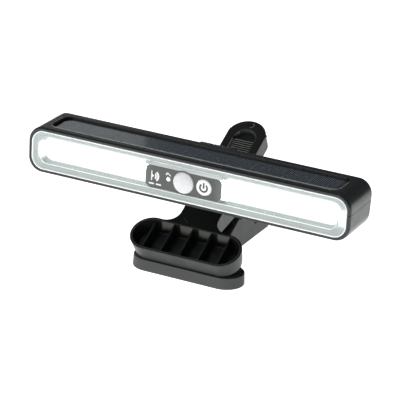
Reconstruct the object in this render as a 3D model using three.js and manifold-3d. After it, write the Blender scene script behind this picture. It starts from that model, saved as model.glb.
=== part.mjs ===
// Solar motion-sensor light bar on a spring clamp, in millimetres.
// +X runs along the light bar, +Y points to the back and +Z up.
// The clamp's lower jaw and lower lever stand on z = 0.
import * as THREE from "three";
import { mergeVertices } from "three/addons/utils/BufferGeometryUtils.js";
import Module from "manifold-3d";

const wasm = await Module();
wasm.setup();

// ---------------------------------------------------------------- driving dimensions

const gap = 0.3; // clearance where two pieces meet
const arcSteps = 4; // half the number of straight steps in an arc

// Light bar, in a frame of its own: x along it, y = 0 at its front, z = 0 at its underside.
const bar = {
  length: 250,
  height: 32.4,
  depthTop: 39.9,
  depthBottom: 36.4,
  corner: 10.5,
  edge: 1.2,
  wall: 2,
};
const barBottomZ = 58; // height of the bar's underside over the table
const partingZ = 17.8; // the housing's two shells meet here
const faceZ = bar.height / 2; // middle of the front opening
const lens = { length: 245.4, height: 29.2, corner: 9.4, front: 0.2, back: 2.4, bevel: 0.7 };
const plate = {
  length: 57.2,
  height: 16,
  corner: 3.5,
  bulge: 0.9,
  front: 0.4,
  flange: 2.7,
  back: 3.7,
  border: 1.7,
};
const dome = { radius: 7.8, rise: 2.4, back: 5 };
const button = { x: 15.4, radius: 5.8, front: -0.4, travel: 0.6 };
const indicator = { x: -12.4, z: -0.7, radius: 1.7 };
const tray = { front: 2.7, floor: 9, floorBack: 10.2, slotInner: 33, slotOuter: 111, slotHeight: 5 };
const board = { front: 10.6, back: 12, length: 228, height: 15, pitch: 6.6, chips: 12 };
const solar = {
  length: 224,
  front: 6.8,
  back: 33.4,
  corner: 6,
  depth: 3.4,
  floor: 1.6,
  panel: 1.2,
  pad: 0.4,
};
const battery = { radius: 9.2, length: 65, x: -62, y: 23.6, z: 12.4 };
const charger = { x: 64, y: 24, z: 8, length: 38, width: 20, thick: 1.4 };
const screwX = [-113, -18, 18, 113];
const screwY = 25;
const screw = { shank: 1.25, head: 2.3, headHeight: 1.6, seat: 3, tip: 24, boss: 3.2 };

// Tilt hinge at the bar's back. The same axis is used in the bar's frame and the lever's frame.
const tilt = {
  y: 52,
  z: 17,
  radius: 10.5,
  knuckle: 4.2,
  washer: 0.8,
  washerRadius: 8,
  boltRadius: 2,
  headRadius: 3.6,
  headLength: 2.6,
};
const bracket = { halfWidth: 14.4, thick: 2.4, low: 5, high: 29, screwX: 9.5, screwZ: 9.5, screwRadius: 1.2 };

// Upper lever, in a frame of its own: x across, y along it towards the handle, z out of its top face.
// Its origin is the middle of the jaw's rim.
const leverTilt = THREE.MathUtils.degToRad(29.37);
const leverOrigin = new THREE.Vector3(0, 7.54, 27.2);
const lever = { half: 14.9, plate: 2.5, wall: 2.5, endY: 105.1, endRadius: 15.2, neck: 10 };
const skirt = {
  frontY: 13,
  frontZ: -9.2,
  deepY: 47,
  deepZ: -20.2,
  bendY: 80,
  gripY: 92,
  gripZ: -12.4,
  endY: 110.6,
  corner: 4,
};
const upperJaw = { half: 43, radius: 14.74, baseHalf: 41.4, baseRadius: 13.2, baseY: -0.5, depth: 13.3 };
const lowerJaw = { half: 43, radius: 14.2, topHalf: 42.6, topRadius: 13.8, y: 15, height: 8.5 };
const thumb = {
  half: 8.7,
  frontY: 77.8,
  pocketY: 103,
  endY: 111.8,
  depth: 2.2,
  pocketDepth: 4.4,
  ridges: 13,
  ridgeStart: 2.8,
  ridgePitch: 1.65,
  holeY: 116,
  holeRadius: 1.8,
};
const jawWall = 1.8;
const jawFloor = 2;
const ribPitch = 14.7;
const ribCount = 5;
const ribThick = 1.4;
const pad = { half: 38, base: 1.2, ridge: 1.3, ridgePitch: 3.2 };

// Clamp pivot, in the lamp's frame.
const pivot = { y: 76, z: 33, pin: 2.5, hole: 2.8, lowerEar: 8, upperEar: 9.6, head: 4.6, headLength: 1.5 };

// The lower lever's walls stand inside the upper lever's skirts and climb from wallFootY at the lever's tilt.
const lowerStrip = {
  half: 11.4,
  endY: 108.7,
  endRadius: 11.6,
  wallFootY: 28.4,
  rimZ: 9,
  kneeY: 102,
  kneeZ: 11,
};
const spring = {
  coil: 5,
  wire: 0.9,
  turns: 4,
  pitch: 2.6,
  upperLeg: { slope: THREE.MathUtils.degToRad(67), length: 29 },
  lowerLeg: { slope: THREE.MathUtils.degToRad(-38), length: 40 },
};

// The origin is the middle of the footprint: from the upper jaw's front rim to the lower lever's end.
const leverReach = lever.endY + lever.endRadius;
const frontMostY = leverOrigin.y - upperJaw.radius * Math.cos(leverTilt);
const rearMostY = lowerJaw.y + leverReach;
const originY = (frontMostY + rearMostY) / 2;

// ---------------------------------------------------------------- materials

function material(color, roughness, metalness = 0) {
  return new THREE.MeshStandardMaterial({ color, roughness, metalness });
}

const blackPlastic = () => material(0x17191a, 0.38);
const clearPlastic = () => material(0xe8eeee, 0.12);
const whitePlastic = () => material(0xf1f3f2, 0.45);
const greyPlastic = () => material(0x636566, 0.4);
const steel = () => material(0xa9acae, 0.3, 1);
const blackRubber = () => material(0x1b1c1c, 0.8);

// ---------------------------------------------------------------- shapes and solids

function solidOf(geometry) {
  const bare = geometry.clone();
  bare.deleteAttribute("normal");
  bare.deleteAttribute("uv");
  const merged = mergeVertices(bare, 1e-4);
  const triVerts = new Uint32Array(merged.index.array);
  const vertProperties = new Float32Array(merged.attributes.position.array);
  return new wasm.Manifold(new wasm.Mesh({ numProp: 3, vertProperties, triVerts }));
}

function union(solids) {
  return solids.reduce((whole, next) => whole.add(next));
}

function cut(solid, tools) {
  return tools.reduce((whole, tool) => whole.subtract(tool), solid);
}

// A rectangle with rounded corners, or a slot with round ends when the corner is half its height.
function roundedRect(length, height, corner, x = 0, y = 0) {
  const right = x + length / 2;
  const left = x - length / 2;
  const top = y + height / 2;
  const bottom = y - height / 2;
  const shape = new THREE.Shape();
  shape.moveTo(left + corner, bottom);
  shape.lineTo(right - corner, bottom);
  shape.absarc(right - corner, bottom + corner, corner, -Math.PI / 2, 0);
  shape.lineTo(right, top - corner);
  shape.absarc(right - corner, top - corner, corner, 0, Math.PI / 2);
  shape.lineTo(left + corner, top);
  shape.absarc(left + corner, top - corner, corner, Math.PI / 2, Math.PI);
  shape.lineTo(left, bottom + corner);
  shape.absarc(left + corner, bottom + corner, corner, Math.PI, Math.PI * 1.5);
  return shape;
}

function circle(radius, x = 0, y = 0) {
  return new THREE.Shape().absarc(x, y, radius, 0, Math.PI * 2);
}

function polygon(points) {
  return new THREE.Shape(points.map(([x, y]) => new THREE.Vector2(x, y)));
}

function extruded(shape, depth, steps = arcSteps, bevel = 0) {
  return new THREE.ExtrudeGeometry(shape, {
    depth: depth - 2 * bevel,
    curveSegments: steps,
    bevelEnabled: bevel > 0,
    bevelSize: bevel,
    bevelThickness: bevel,
    bevelOffset: -bevel,
    bevelSegments: 2,
  }).translate(0, 0, bevel);
}

// The shape's two coordinates become y and z.
function alongX(shape, x0, x1, steps) {
  const basis = new THREE.Matrix4().makeBasis(
    new THREE.Vector3(0, 1, 0),
    new THREE.Vector3(0, 0, 1),
    new THREE.Vector3(1, 0, 0),
  );
  return solidOf(extruded(shape, x1 - x0, steps).applyMatrix4(basis).translate(x0, 0, 0));
}

// The shape's two coordinates become x and z.
function alongYGeometry(shape, y0, y1, steps, bevel) {
  return extruded(shape, y1 - y0, steps, bevel).rotateX(Math.PI / 2).translate(0, y1, 0);
}

function alongY(shape, y0, y1, steps, bevel) {
  return solidOf(alongYGeometry(shape, y0, y1, steps, bevel));
}

function alongZ(shape, z0, z1, steps) {
  return solidOf(extruded(shape, z1 - z0, steps).translate(0, 0, z0));
}

function box(x0, x1, y0, y1, z0, z1) {
  const geometry = new THREE.BoxGeometry(x1 - x0, y1 - y0, z1 - z0);
  return solidOf(geometry.translate((x0 + x1) / 2, (y0 + y1) / 2, (z0 + z1) / 2));
}

// A solid whose outline changes evenly from one level to the next; every ring has the same number of points.
function lofted(rings) {
  const count = rings[0].length;
  const positions = rings.flat().flatMap((p) => [p.x, p.y, p.z]);
  const index = [];
  for (let level = 0; level < rings.length - 1; level += 1) {
    for (let i = 0; i < count; i += 1) {
      const a = level * count + i;
      const b = level * count + ((i + 1) % count);
      index.push(a, b, b + count, a, b + count, a + count);
    }
  }
  const last = (rings.length - 1) * count;
  for (let i = 1; i < count - 1; i += 1) {
    index.push(0, i + 1, i, last, last + i, last + i + 1);
  }
  const geometry = new THREE.BufferGeometry();
  geometry.setAttribute("position", new THREE.Float32BufferAttribute(positions, 3));
  geometry.setIndex(index);
  return solidOf(geometry);
}

function ringAtZ(shape, z, steps = arcSteps) {
  return shape.getPoints(steps).slice(0, -1).map((p) => new THREE.Vector3(p.x, p.y, z));
}

function ringAtY(shape, y, steps = arcSteps) {
  const points = shape.getPoints(steps).slice(0, -1);
  return points.map((p) => new THREE.Vector3(p.x, y, p.y));
}

// ---------------------------------------------------------------- assembly

const lamp = new THREE.Group();
lamp.position.y = -originY;
const barGroup = new THREE.Group();
barGroup.position.z = barBottomZ;
const leverGroup = new THREE.Group();
leverGroup.position.copy(leverOrigin);
leverGroup.rotation.x = leverTilt;
lamp.add(barGroup, leverGroup);

function addPiece(group, name, solid, look) {
  const { vertProperties, triVerts } = solid.getMesh();
  const geometry = new THREE.BufferGeometry();
  geometry.setAttribute("position", new THREE.BufferAttribute(new Float32Array(vertProperties), 3));
  geometry.setIndex(new THREE.BufferAttribute(new Uint32Array(triVerts), 1));
  geometry.computeVertexNormals();
  const mesh = new THREE.Mesh(geometry, look);
  mesh.name = name;
  group.add(mesh);
}

// A point of the lamp's frame, as (along, out) in the upper lever's frame.
function inLeverFrame(y, z) {
  const offset = new THREE.Vector3(0, y, z).sub(leverOrigin);
  offset.applyAxisAngle(new THREE.Vector3(1, 0, 0), -leverTilt);
  return { y: offset.y, z: offset.z };
}

// ---------------------------------------------------------------- housing

// The housing's form, moved in by inset on every side; its back leans forward towards the underside.
function barForm(inset) {
  const outline = roundedRect(bar.length - 2 * inset, bar.height - 2 * inset, bar.corner - inset, 0, faceZ);
  const geometry = alongYGeometry(outline, inset, bar.depthTop - inset, arcSteps, bar.edge);
  const position = geometry.attributes.position;
  for (let i = 0; i < position.count; i += 1) {
    const share = position.getZ(i) / bar.height;
    const depth = bar.depthBottom + (bar.depthTop - bar.depthBottom) * share;
    position.setY(i, (position.getY(i) * (depth - inset)) / (bar.depthTop - inset));
  }
  return solidOf(geometry);
}

function backY(z) {
  return bar.depthBottom + ((bar.depthTop - bar.depthBottom) * z) / bar.height;
}

function screwBores(z0, z1, radius) {
  return screwX.map((x) => alongZ(circle(radius, x, screwY), z0, z1, 6));
}

function housingBlank() {
  const opening = roundedRect(
    lens.length + 2 * gap, lens.height + 2 * gap, lens.corner + gap, 0, faceZ,
  );
  const hollow = barForm(bar.wall);
  const bracketBores = [-1, 1].map((side) => {
    const bore = circle(bracket.screwRadius + gap, side * bracket.screwX, bracket.screwZ);
    return alongY(bore, bar.depthBottom - 6, bar.depthTop + 5, 6);
  });
  return cut(barForm(0), [hollow, alongY(opening, -1, 3.4), ...bracketBores]);
}

const slab = (z0, z1) => box(-bar.length, bar.length, -10, 60, z0, z1);
const blank = housingBlank();

const recessY = (solar.front + solar.back) / 2;
const recessWidth = solar.back - solar.front;
const recessFloorZ = bar.height - solar.depth;
const trayFloorZ = recessFloorZ - solar.floor;

function upperShell() {
  const recess = roundedRect(solar.length, recessWidth, solar.corner, 0, recessY);
  const under = roundedRect(solar.length + 3, recessWidth + 3, solar.corner + 1.5, 0, recessY);
  const shell = blank.intersect(slab(partingZ + gap / 2, bar.height + 1));
  const floor = alongZ(under, trayFloorZ, bar.height - 1);
  const bosses = screwBores(partingZ + gap / 2, trayFloorZ + 0.5, screw.boss);
  const bores = screwBores(partingZ - 1, screw.tip + 0.5, screw.shank + gap);
  const leadHole = alongZ(circle(2.2, charger.x, recessY), 20, 40, 6);
  return cut(union([shell, floor, ...bosses]), [
    alongZ(recess, recessFloorZ, bar.height + 1),
    ...bores,
    leadHole,
  ]);
}

function lowerShell() {
  const shell = blank.intersect(slab(-1, partingZ - gap / 2));
  const bosses = screwBores(1, partingZ - gap / 2, screw.boss);
  const bores = screwBores(-1, partingZ + 1, screw.shank + gap);
  const seats = screwBores(-1, screw.seat + screw.headHeight - gap, screw.head + gap);
  return cut(union([shell, ...bosses]), [...bores, ...seats]);
}

addPiece(barGroup, "upper_shell", upperShell(), blackPlastic());
addPiece(barGroup, "lower_shell", lowerShell(), blackPlastic());

// Screws stand head down in the lower shell and bite into the upper shell's bosses.
screwX.forEach((x, i) => {
  const seatZ = screw.seat + screw.headHeight;
  const shank = alongZ(circle(screw.shank, x, screwY), seatZ - 1, screw.tip, 5);
  const head = alongZ(circle(screw.head, x, screwY), seatZ - gap - screw.headHeight, seatZ - 2 * gap, 6);
  const drive = union([
    box(x - 1.2, x + 1.2, screwY - 0.3, screwY + 0.3, 0, 3.4),
    box(x - 0.3, x + 0.3, screwY - 1.2, screwY + 1.2, 0, 3.4),
  ]);
  addPiece(barGroup, `housing_screw_${i + 1}`, shank.add(head).subtract(drive), steel());
});

// ---------------------------------------------------------------- front: lens, control plate and boards

// The plate's outline bulges a little round the dome.
function plateOutline(grow) {
  const { length, height, corner, bulge } = plate;
  const outline = roundedRect(length + 2 * grow, height + 2 * grow, corner + grow, 0, faceZ);
  return [alongY(outline, -2, 12), alongY(circle(height / 2 + bulge + grow, 0, faceZ), -2, 12, 10)];
}

function frontLens() {
  const face = roundedRect(lens.length, lens.height, lens.corner, 0, faceZ);
  return cut(alongY(face, lens.front, lens.back, arcSteps, lens.bevel), plateOutline(gap));
}

function controlPlate() {
  const face = union(plateOutline(0)).intersect(box(-40, 40, plate.front, plate.flange + 0.5, 0, 40));
  const flange = roundedRect(
    plate.length + 2 * plate.border, plate.height + 2 * plate.border, plate.corner + plate.border, 0, faceZ,
  );
  return cut(face.add(alongY(flange, plate.flange, plate.back)), [
    alongY(circle(dome.radius + gap, 0, faceZ), -1, 9, 10),
    alongY(circle(button.radius + gap, button.x, faceZ), -1, 9, 8),
    alongY(circle(indicator.radius + gap, indicator.x, faceZ + indicator.z), -1, 9, 6),
  ]);
}

// A low dome with a flange behind the control plate, hollow at the back so that the sensor looks through it.
function pirLens() {
  const flangeFront = plate.back + gap;
  const profile = [];
  const bulge = 6;
  for (let i = 0; i <= bulge; i += 1) {
    const turn = (i / bulge) * (Math.PI / 2);
    profile.push([dome.radius * Math.sin(turn), -dome.rise * Math.cos(turn)]);
  }
  profile.push(
    [dome.radius, flangeFront],
    [dome.radius + 0.8, flangeFront],
    [dome.radius + 0.8, dome.back],
    [dome.radius - 1, dome.back],
    [dome.radius - 1, 0.4],
    [dome.radius * 0.5, -dome.rise * 0.45],
    [0, -dome.rise * 0.6],
  );
  const points = profile.map(([r, y]) => new THREE.Vector2(r, y));
  const turned = new THREE.LatheGeometry(points, 24);
  return solidOf(turned.translate(0, 0, faceZ));
}

function powerButton() {
  const flangeFront = plate.back + gap;
  const cap = alongY(circle(button.radius, button.x, faceZ), button.front, flangeFront + 0.5, 8);
  const flange = alongY(circle(button.radius + 0.6, button.x, faceZ), flangeFront, flangeFront + 0.9, 8);
  const stem = alongY(circle(2, button.x, faceZ), flangeFront + 0.5, flangeFront + 1.9, 6);
  return union([cap, flange, stem]);
}

function reflectorTray() {
  const ring = (length, height, corner, y) => ringAtY(roundedRect(length, height, corner, 0, faceZ), y, 4);
  const outer = lofted([ring(235.6, 19.8, 9, tray.floorBack), ring(240.4, 22.4, 9.4, tray.front + 1)]);
  const inner = lofted([ring(231.6, 17, 8, tray.floor), ring(237, 21.4, 9, tray.front - 1)]);
  const rim = alongY(roundedRect(245, 27.6, 8.4, 0, faceZ), tray.front, tray.front + 1.2);
  const tubeFront = plate.back + gap;
  const tube = alongY(roundedRect(61, 21, 5, 0, faceZ), tubeFront, tray.floorBack, 4);
  const tubeBore = alongY(roundedRect(57.6, 18.2, 3.4, 0, faceZ), tubeFront - 1, tray.floorBack + 1, 4);
  const slots = [-1, 1].map((side) => {
    const middle = (side * (tray.slotInner + tray.slotOuter)) / 2;
    const slot = roundedRect(tray.slotOuter - tray.slotInner, tray.slotHeight, 1, middle, faceZ);
    return alongY(slot, tray.floor - 1, tray.floorBack + 1, 2);
  });
  return cut(union([cut(union([outer, rim]), [inner]), tube]), [tubeBore, ...slots]);
}

function ledBoard() {
  const sheet = alongY(roundedRect(board.length, board.height, 1.5, 0, faceZ), board.front, board.back, 2);
  const chips = [-1, 1].flatMap((side) =>
    Array.from({ length: board.chips }, (_, i) => {
      const x = side * (tray.slotInner + 2.7 + i * board.pitch);
      return box(x - 1.75, x + 1.75, board.front - 0.9, board.front + 0.2, faceZ - 1.4, faceZ + 1.4);
    }),
  );
  return union([sheet, ...chips]);
}

function pirSensor() {
  const can = alongY(circle(4.1, 0, faceZ), 5.8, board.front - gap - 0.6, 8);
  const foot = alongY(circle(4.6, 0, faceZ), board.front - gap - 0.8, board.front - gap, 8);
  return cut(union([can, foot]), [box(-1.9, 1.9, 5, 6.1, faceZ - 1.5, faceZ + 1.5)]);
}

function tactSwitch() {
  const body = box(button.x - 3, button.x + 3, 7.2, board.front - gap, faceZ - 3, faceZ + 3);
  const plunger = alongY(circle(1.7, button.x, faceZ), plate.back + gap + 1.9 + button.travel + gap, 7.4, 5);
  return union([body, plunger]);
}

addPiece(barGroup, "front_lens", frontLens(), clearPlastic());
addPiece(barGroup, "control_plate", controlPlate(), greyPlastic());
addPiece(barGroup, "pir_lens", pirLens(), whitePlastic());
addPiece(barGroup, "power_button", powerButton(), whitePlastic());
addPiece(barGroup, "reflector_tray", reflectorTray(), whitePlastic());
addPiece(barGroup, "led_board", ledBoard(), material(0xf4f6f2, 0.5));
addPiece(barGroup, "pir_sensor", pirSensor(), steel());
addPiece(barGroup, "tact_switch", tactSwitch(), blackPlastic());
addPiece(
  barGroup,
  "indicator_light_pipe",
  alongY(circle(indicator.radius, indicator.x, faceZ + indicator.z), plate.front - 0.1, board.front - gap, 6),
  clearPlastic(),
);

// ---------------------------------------------------------------- solar panel, battery, charging board

function solarSheet(inset, z0, z1) {
  const outline = roundedRect(
    solar.length - 2 * inset, recessWidth - 2 * inset, solar.corner - inset, 0, recessY,
  );
  return alongZ(outline, z0, z1);
}

function batteryHolder() {
  const endX = battery.length / 2 + gap;
  const x0 = battery.x - endX - 1.6;
  const x1 = battery.x + endX + 1.6;
  const body = box(x0, x1, battery.y - 9.8, battery.y + 9.8, bar.wall + gap, battery.z + 2);
  const channel = alongX(
    circle(battery.radius + gap, battery.y, battery.z), battery.x - endX, battery.x + endX, 10,
  );
  const openTop = box(
    battery.x - endX, battery.x + endX, battery.y - 9.5, battery.y + 9.5, battery.z, battery.z + 12,
  );
  return cut(body, [channel, openTop]);
}

function batteryCell() {
  const half = battery.length / 2;
  const can = alongX(circle(battery.radius, battery.y, battery.z), -half, half - 1.2, 10);
  const nub = alongX(circle(3, battery.y, battery.z), half - 1.5, half, 6);
  return union([can, nub]).translate(battery.x, 0, 0);
}

function chargingBoard() {
  const { x, y, z, length, width, thick } = charger;
  const sheet = box(x - length / 2, x + length / 2, y - width / 2, y + width / 2, z, z + thick);
  const chip = box(x - 4, x + 1, y - 3, y + 3, z + thick - 0.1, z + thick + 1.4);
  const coil = alongZ(circle(3.6, x + 11, y - 4), z + thick - 0.1, z + thick + 4, 6);
  const socket = box(x - 17, x - 11, y - 9, y - 3, z + thick - 0.1, z + thick + 5);
  return union([sheet, chip, coil, socket]);
}

// Two rails on the lower shell hold the charging board's long edges off the floor.
function boardRail(side) {
  const edgeY = charger.y + side * (charger.width / 2 - 1.5);
  const startX = charger.x - charger.length / 2;
  return box(startX, startX + charger.length, edgeY - 1, edgeY + 1, bar.wall + gap, charger.z - gap);
}

// A thin insulated wire through the given points.
function wire(points) {
  const route = new THREE.CatmullRomCurve3(points.map(([x, y, z]) => new THREE.Vector3(x, y, z)));
  return solidOf(new THREE.ExtrudeGeometry(circle(0.7), { steps: 14, extrudePath: route, curveSegments: 3 }));
}

const panelBottomZ = recessFloorZ + gap + solar.pad + gap;
addPiece(barGroup, "panel_bonding_pad", cut(
  solarSheet(2.5, recessFloorZ + gap, recessFloorZ + gap + solar.pad),
  [alongZ(circle(4, charger.x, recessY), 20, 40, 6)],
), material(0x2a2c2e, 0.9));
const panel = solarSheet(0.4, panelBottomZ, panelBottomZ + solar.panel);
addPiece(barGroup, "solar_panel", panel, material(0x141a2b, 0.12));
addPiece(barGroup, "battery_holder", batteryHolder(), blackPlastic());
addPiece(barGroup, "battery_cell", batteryCell(), material(0x2c5f9e, 0.5));
addPiece(barGroup, "charging_board", chargingBoard(), material(0x1d5a38, 0.5));
addPiece(barGroup, "board_rail_front", boardRail(-1), blackPlastic());
addPiece(barGroup, "board_rail_rear", boardRail(1), blackPlastic());

const boardTopZ = charger.z + charger.thick + gap;
const cellEndX = battery.x + battery.length / 2;
[["red", 1, 0xb02a22], ["black", -1, 0x1a1a1a]].forEach(([name, side, color]) => {
  const solarX = charger.x + side * 0.95;
  addPiece(barGroup, `solar_lead_${name}`, wire([
    [solarX, recessY, panelBottomZ - gap],
    [solarX, recessY, trayFloorZ - 2],
    [solarX + side * 2, recessY + 3, 18],
    [charger.x + 5 + side, charger.y + 6, boardTopZ + 0.8],
  ]), material(color, 0.5));
  const cellX = side > 0 ? cellEndX : battery.x - battery.length / 2;
  addPiece(barGroup, `battery_lead_${name}`, wire([
    [cellX + side * 2.4, battery.y, battery.z + 4],
    [cellX + side * 3.4, battery.y - 1, battery.z + 10],
    [cellX, battery.y - 3, 25],
    [cellX + 22, 17 + side, 24],
    [20, 17 + side * 1.5, 24],
    [charger.x - 22, 19 + side * 2, 22],
    [charger.x - 8, charger.y + 4 + side * 2, boardTopZ + 0.8],
  ]), material(color, 0.5));
});

// ---------------------------------------------------------------- tilt hinge on the bar

function hingeBracket() {
  const base = polygon([
    [backY(bracket.low) + gap, bracket.low],
    [backY(bracket.low) + gap + bracket.thick, bracket.low],
    [backY(bracket.high) + gap + bracket.thick, bracket.high],
    [backY(bracket.high) + gap, bracket.high],
  ]);
  const arm = polygon([
    [backY(9) + gap + 0.5, 9],
    [tilt.y, tilt.z - tilt.radius],
    [tilt.y, tilt.z + tilt.radius],
    [backY(26) + gap + 0.5, 26],
  ]);
  const barrel = circle(tilt.radius, tilt.y, tilt.z);
  const screws = [-1, 1].map((side) => {
    const bore = circle(bracket.screwRadius + gap, side * bracket.screwX, bracket.screwZ);
    return alongY(bore, bar.depthBottom - 6, tilt.y, 6);
  });
  const clearance = alongX(circle(tilt.radius + 0.6, tilt.y, tilt.z), tilt.knuckle, 20, 12);
  return cut(
    union([
      alongX(base, -bracket.halfWidth, bracket.halfWidth),
      alongX(arm, -tilt.knuckle, tilt.knuckle),
      alongX(barrel, -tilt.knuckle, tilt.knuckle, 12),
    ]),
    [
      alongX(circle(tilt.boltRadius + gap, tilt.y, tilt.z), -30, 30, 8),
      ...screws,
      clearance,
      clearance.mirror([1, 0, 0]),
    ],
  );
}

addPiece(barGroup, "hinge_bracket", hingeBracket(), blackPlastic());

[-1, 1].forEach((side, i) => {
  const x = side * bracket.screwX;
  const faceY = backY(bracket.screwZ) + gap + bracket.thick;
  const shank = alongY(circle(bracket.screwRadius, x, bracket.screwZ), bar.depthBottom - 5, faceY + 0.5, 5);
  const head = alongY(circle(2.4, x, bracket.screwZ), faceY + gap, faceY + gap + 1.2, 6);
  addPiece(barGroup, `bracket_screw_${i + 1}`, shank.add(head), steel());
});

// ---------------------------------------------------------------- upper lever

const tiltInLever = inLeverFrame(tilt.y, tilt.z + barBottomZ);
const pivotInLever = inLeverFrame(pivot.y, pivot.z);

// The outline of a lever seen from above: jaw, curved neck, strip and round handle end.
function leverStrip(half, endY, endRadius) {
  const shape = new THREE.Shape();
  const flare = Math.asin(Math.min(1, half / endRadius));
  shape.moveTo(-half, 0);
  shape.lineTo(half, 0);
  shape.lineTo(half, endY + endRadius * Math.cos(flare));
  shape.absarc(0, endY, endRadius, Math.PI / 2 - flare, Math.PI / 2 + flare);
  return shape;
}

function neckFillets(cornerX, jawBackY, z0, z1) {
  const r = lever.neck;
  return [-1, 1].map((side) => {
    const shape = new THREE.Shape();
    shape.moveTo(cornerX - 1, jawBackY - 1);
    shape.lineTo(cornerX + r, jawBackY - 1);
    shape.lineTo(cornerX + r, jawBackY);
    shape.absarc(cornerX + r, jawBackY + r, r, -Math.PI / 2, Math.PI, true);
    shape.lineTo(cornerX - 1, jawBackY + r);
    const right = alongZ(shape, z0, z1, 4);
    return side > 0 ? right : right.mirror([1, 0, 0]);
  });
}

// A jaw: a tapered trough with a thin wall, a floor and evenly spaced ribs, open on its rim's side.
function jawTrough(rim, base, rimZ, baseZ) {
  const up = rimZ > baseZ;
  const ring = (size, inset, z) => {
    const radius = size.radius - inset;
    return ringAtZ(roundedRect(2 * (size.half - inset), 2 * radius, radius, 0, size.y), z);
  };
  const order = (rings) => (up ? rings : rings.reverse());
  const floorZ = baseZ + (up ? jawFloor : -jawFloor);
  const pastRim = rimZ + (up ? 1 : -1);
  const shell = lofted(order([ring(base, 0, baseZ), ring(rim, 0, rimZ)]));
  const hollow = lofted(order([ring(base, jawWall + 0.6, floorZ), ring(rim, jawWall, pastRim)]));
  const ribTop = rimZ - (up ? 1.2 : -1.2);
  const ribs = Array.from({ length: ribCount }, (_, i) => {
    const x = (i - (ribCount - 1) / 2) * ribPitch;
    const y = rim.y;
    const reach = rim.radius - 0.6;
    return box(x - ribThick / 2, x + ribThick / 2, y - reach, y + reach,
      Math.min(floorZ - 0.5, ribTop), Math.max(floorZ + 0.5, ribTop));
  });
  const ribBlock = union(ribs).intersect(shell);
  return union([shell.subtract(hollow), ribBlock]);
}

// The upper lever's skirt, seen from the side: (along, out of the top face).
function upperSkirt() {
  const rearCornerY = skirt.endY - skirt.corner;
  const shape = new THREE.Shape();
  shape.moveTo(skirt.endY, -1);
  shape.lineTo(skirt.frontY, -1);
  shape.lineTo(skirt.frontY, skirt.frontZ);
  shape.lineTo(skirt.deepY, skirt.deepZ);
  shape.lineTo(skirt.bendY, skirt.deepZ);
  shape.lineTo(skirt.gripY, skirt.gripZ);
  shape.lineTo(rearCornerY, skirt.gripZ);
  shape.absarc(rearCornerY, skirt.gripZ + skirt.corner, skirt.corner, -Math.PI / 2, 0);
  return shape;
}

function skirtPair(shape, outer, thick) {
  return [alongX(shape, outer - thick, outer), alongX(shape, -outer, -outer + thick)];
}

// The skirt's ear, which hangs down round the clamp's pivot.
function upperEar() {
  const { y, z } = pivotInLever;
  const shape = new THREE.Shape();
  shape.moveTo(y + pivot.upperEar + 6, -1);
  shape.lineTo(y - pivot.upperEar, -1);
  shape.lineTo(y - pivot.upperEar, z);
  shape.absarc(y, z, pivot.upperEar, Math.PI, 2 * Math.PI);
  return shape;
}

// One ear of the tilt hinge stands on the lever's top face.
function hingeEar() {
  const { y, z } = tiltInLever;
  const shape = new THREE.Shape();
  shape.moveTo(y - tilt.radius, -1);
  shape.lineTo(y + tilt.radius, -1);
  shape.lineTo(y + tilt.radius, z);
  shape.absarc(y, z, tilt.radius, 0, Math.PI);
  return shape;
}

// The thumb recess in the handle: a ridged floor, then a deeper pocket at the round rear end.
function thumbRecess() {
  const { half, frontY, pocketY, endY, depth, pocketDepth } = thumb;
  const outline = roundedRect(2 * half, endY - frontY, half, 0, (frontY + endY) / 2);
  const frontOutline = roundedRect(2 * half, 2 * half, 1, 0, frontY + half);
  const pocket = alongZ(outline, -pocketDepth, 1, 8).intersect(box(-20, 20, pocketY, 120, -10, 5));
  return [alongZ(outline, -depth, 1, 8), alongZ(frontOutline, -depth, 1, 2), pocket];
}

function thumbRidges() {
  const { half, frontY, depth } = thumb;
  return Array.from({ length: thumb.ridges }, (_, i) => {
    const y = frontY + thumb.ridgeStart + i * thumb.ridgePitch;
    return box(-half + 1.5, half - 1.5, y - 0.45, y + 0.45, -depth - 0.4, -1);
  });
}

function upperLever() {
  const strip = leverStrip(lever.half, lever.endY, lever.endRadius);
  const jaw = jawTrough(
    { half: upperJaw.half, radius: upperJaw.radius, y: 0 },
    { half: upperJaw.baseHalf, radius: upperJaw.baseRadius, y: upperJaw.baseY },
    0,
    -upperJaw.depth,
  );
  const plateTop = cut(
    union([alongZ(strip, -lever.plate, 0, 8), ...neckFillets(lever.half, upperJaw.radius, -lever.plate, 0)]),
    [jawTroughSpace()],
  );
  const withinStrip = alongZ(strip, -60, 0, 8);
  const skirts = [upperSkirt(), upperEar()].flatMap((shape) => skirtPair(shape, lever.half, lever.wall));
  const gripBlock = alongZ(roundedRect(23, 42, 3, 0, 95), -6, -1, 3);
  const earX = tilt.knuckle + tilt.washer + 2 * gap;
  const hingeEars = [
    alongX(hingeEar(), earX, lever.half, 10),
    alongX(hingeEar(), -lever.half, -earX, 10),
  ];
  const bolt = (radius, x0, x1, steps) => alongX(circle(radius, tiltInLever.y, tiltInLever.z), x0, x1, steps);
  const body = union([
    jaw, plateTop, ...skirts.map((wall) => wall.intersect(withinStrip)), gripBlock, ...hingeEars,
  ]);
  const opened = cut(body, [
    ...thumbRecess(),
    alongX(circle(pivot.hole, pivotInLever.y, pivotInLever.z), -20, 20, 8),
    bolt(tilt.boltRadius + gap, -20, 20, 8),
    bolt(tilt.headRadius + gap, lever.half - tilt.headLength - gap, 20, 8),
    bolt(tilt.headRadius + gap, -20, -lever.half + tilt.headLength + gap, 8),
    alongZ(circle(thumb.holeRadius, 0, thumb.holeY), -20, 5, 6),
  ]);
  return union([opened, ...thumbRidges()]);
}

// The space inside the upper jaw's trough, which the strip may not fill.
function jawTroughSpace() {
  const radius = upperJaw.radius - jawWall;
  return alongZ(roundedRect(2 * (upperJaw.half - jawWall), 2 * radius, radius), -6, 5, 12);
}

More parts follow.
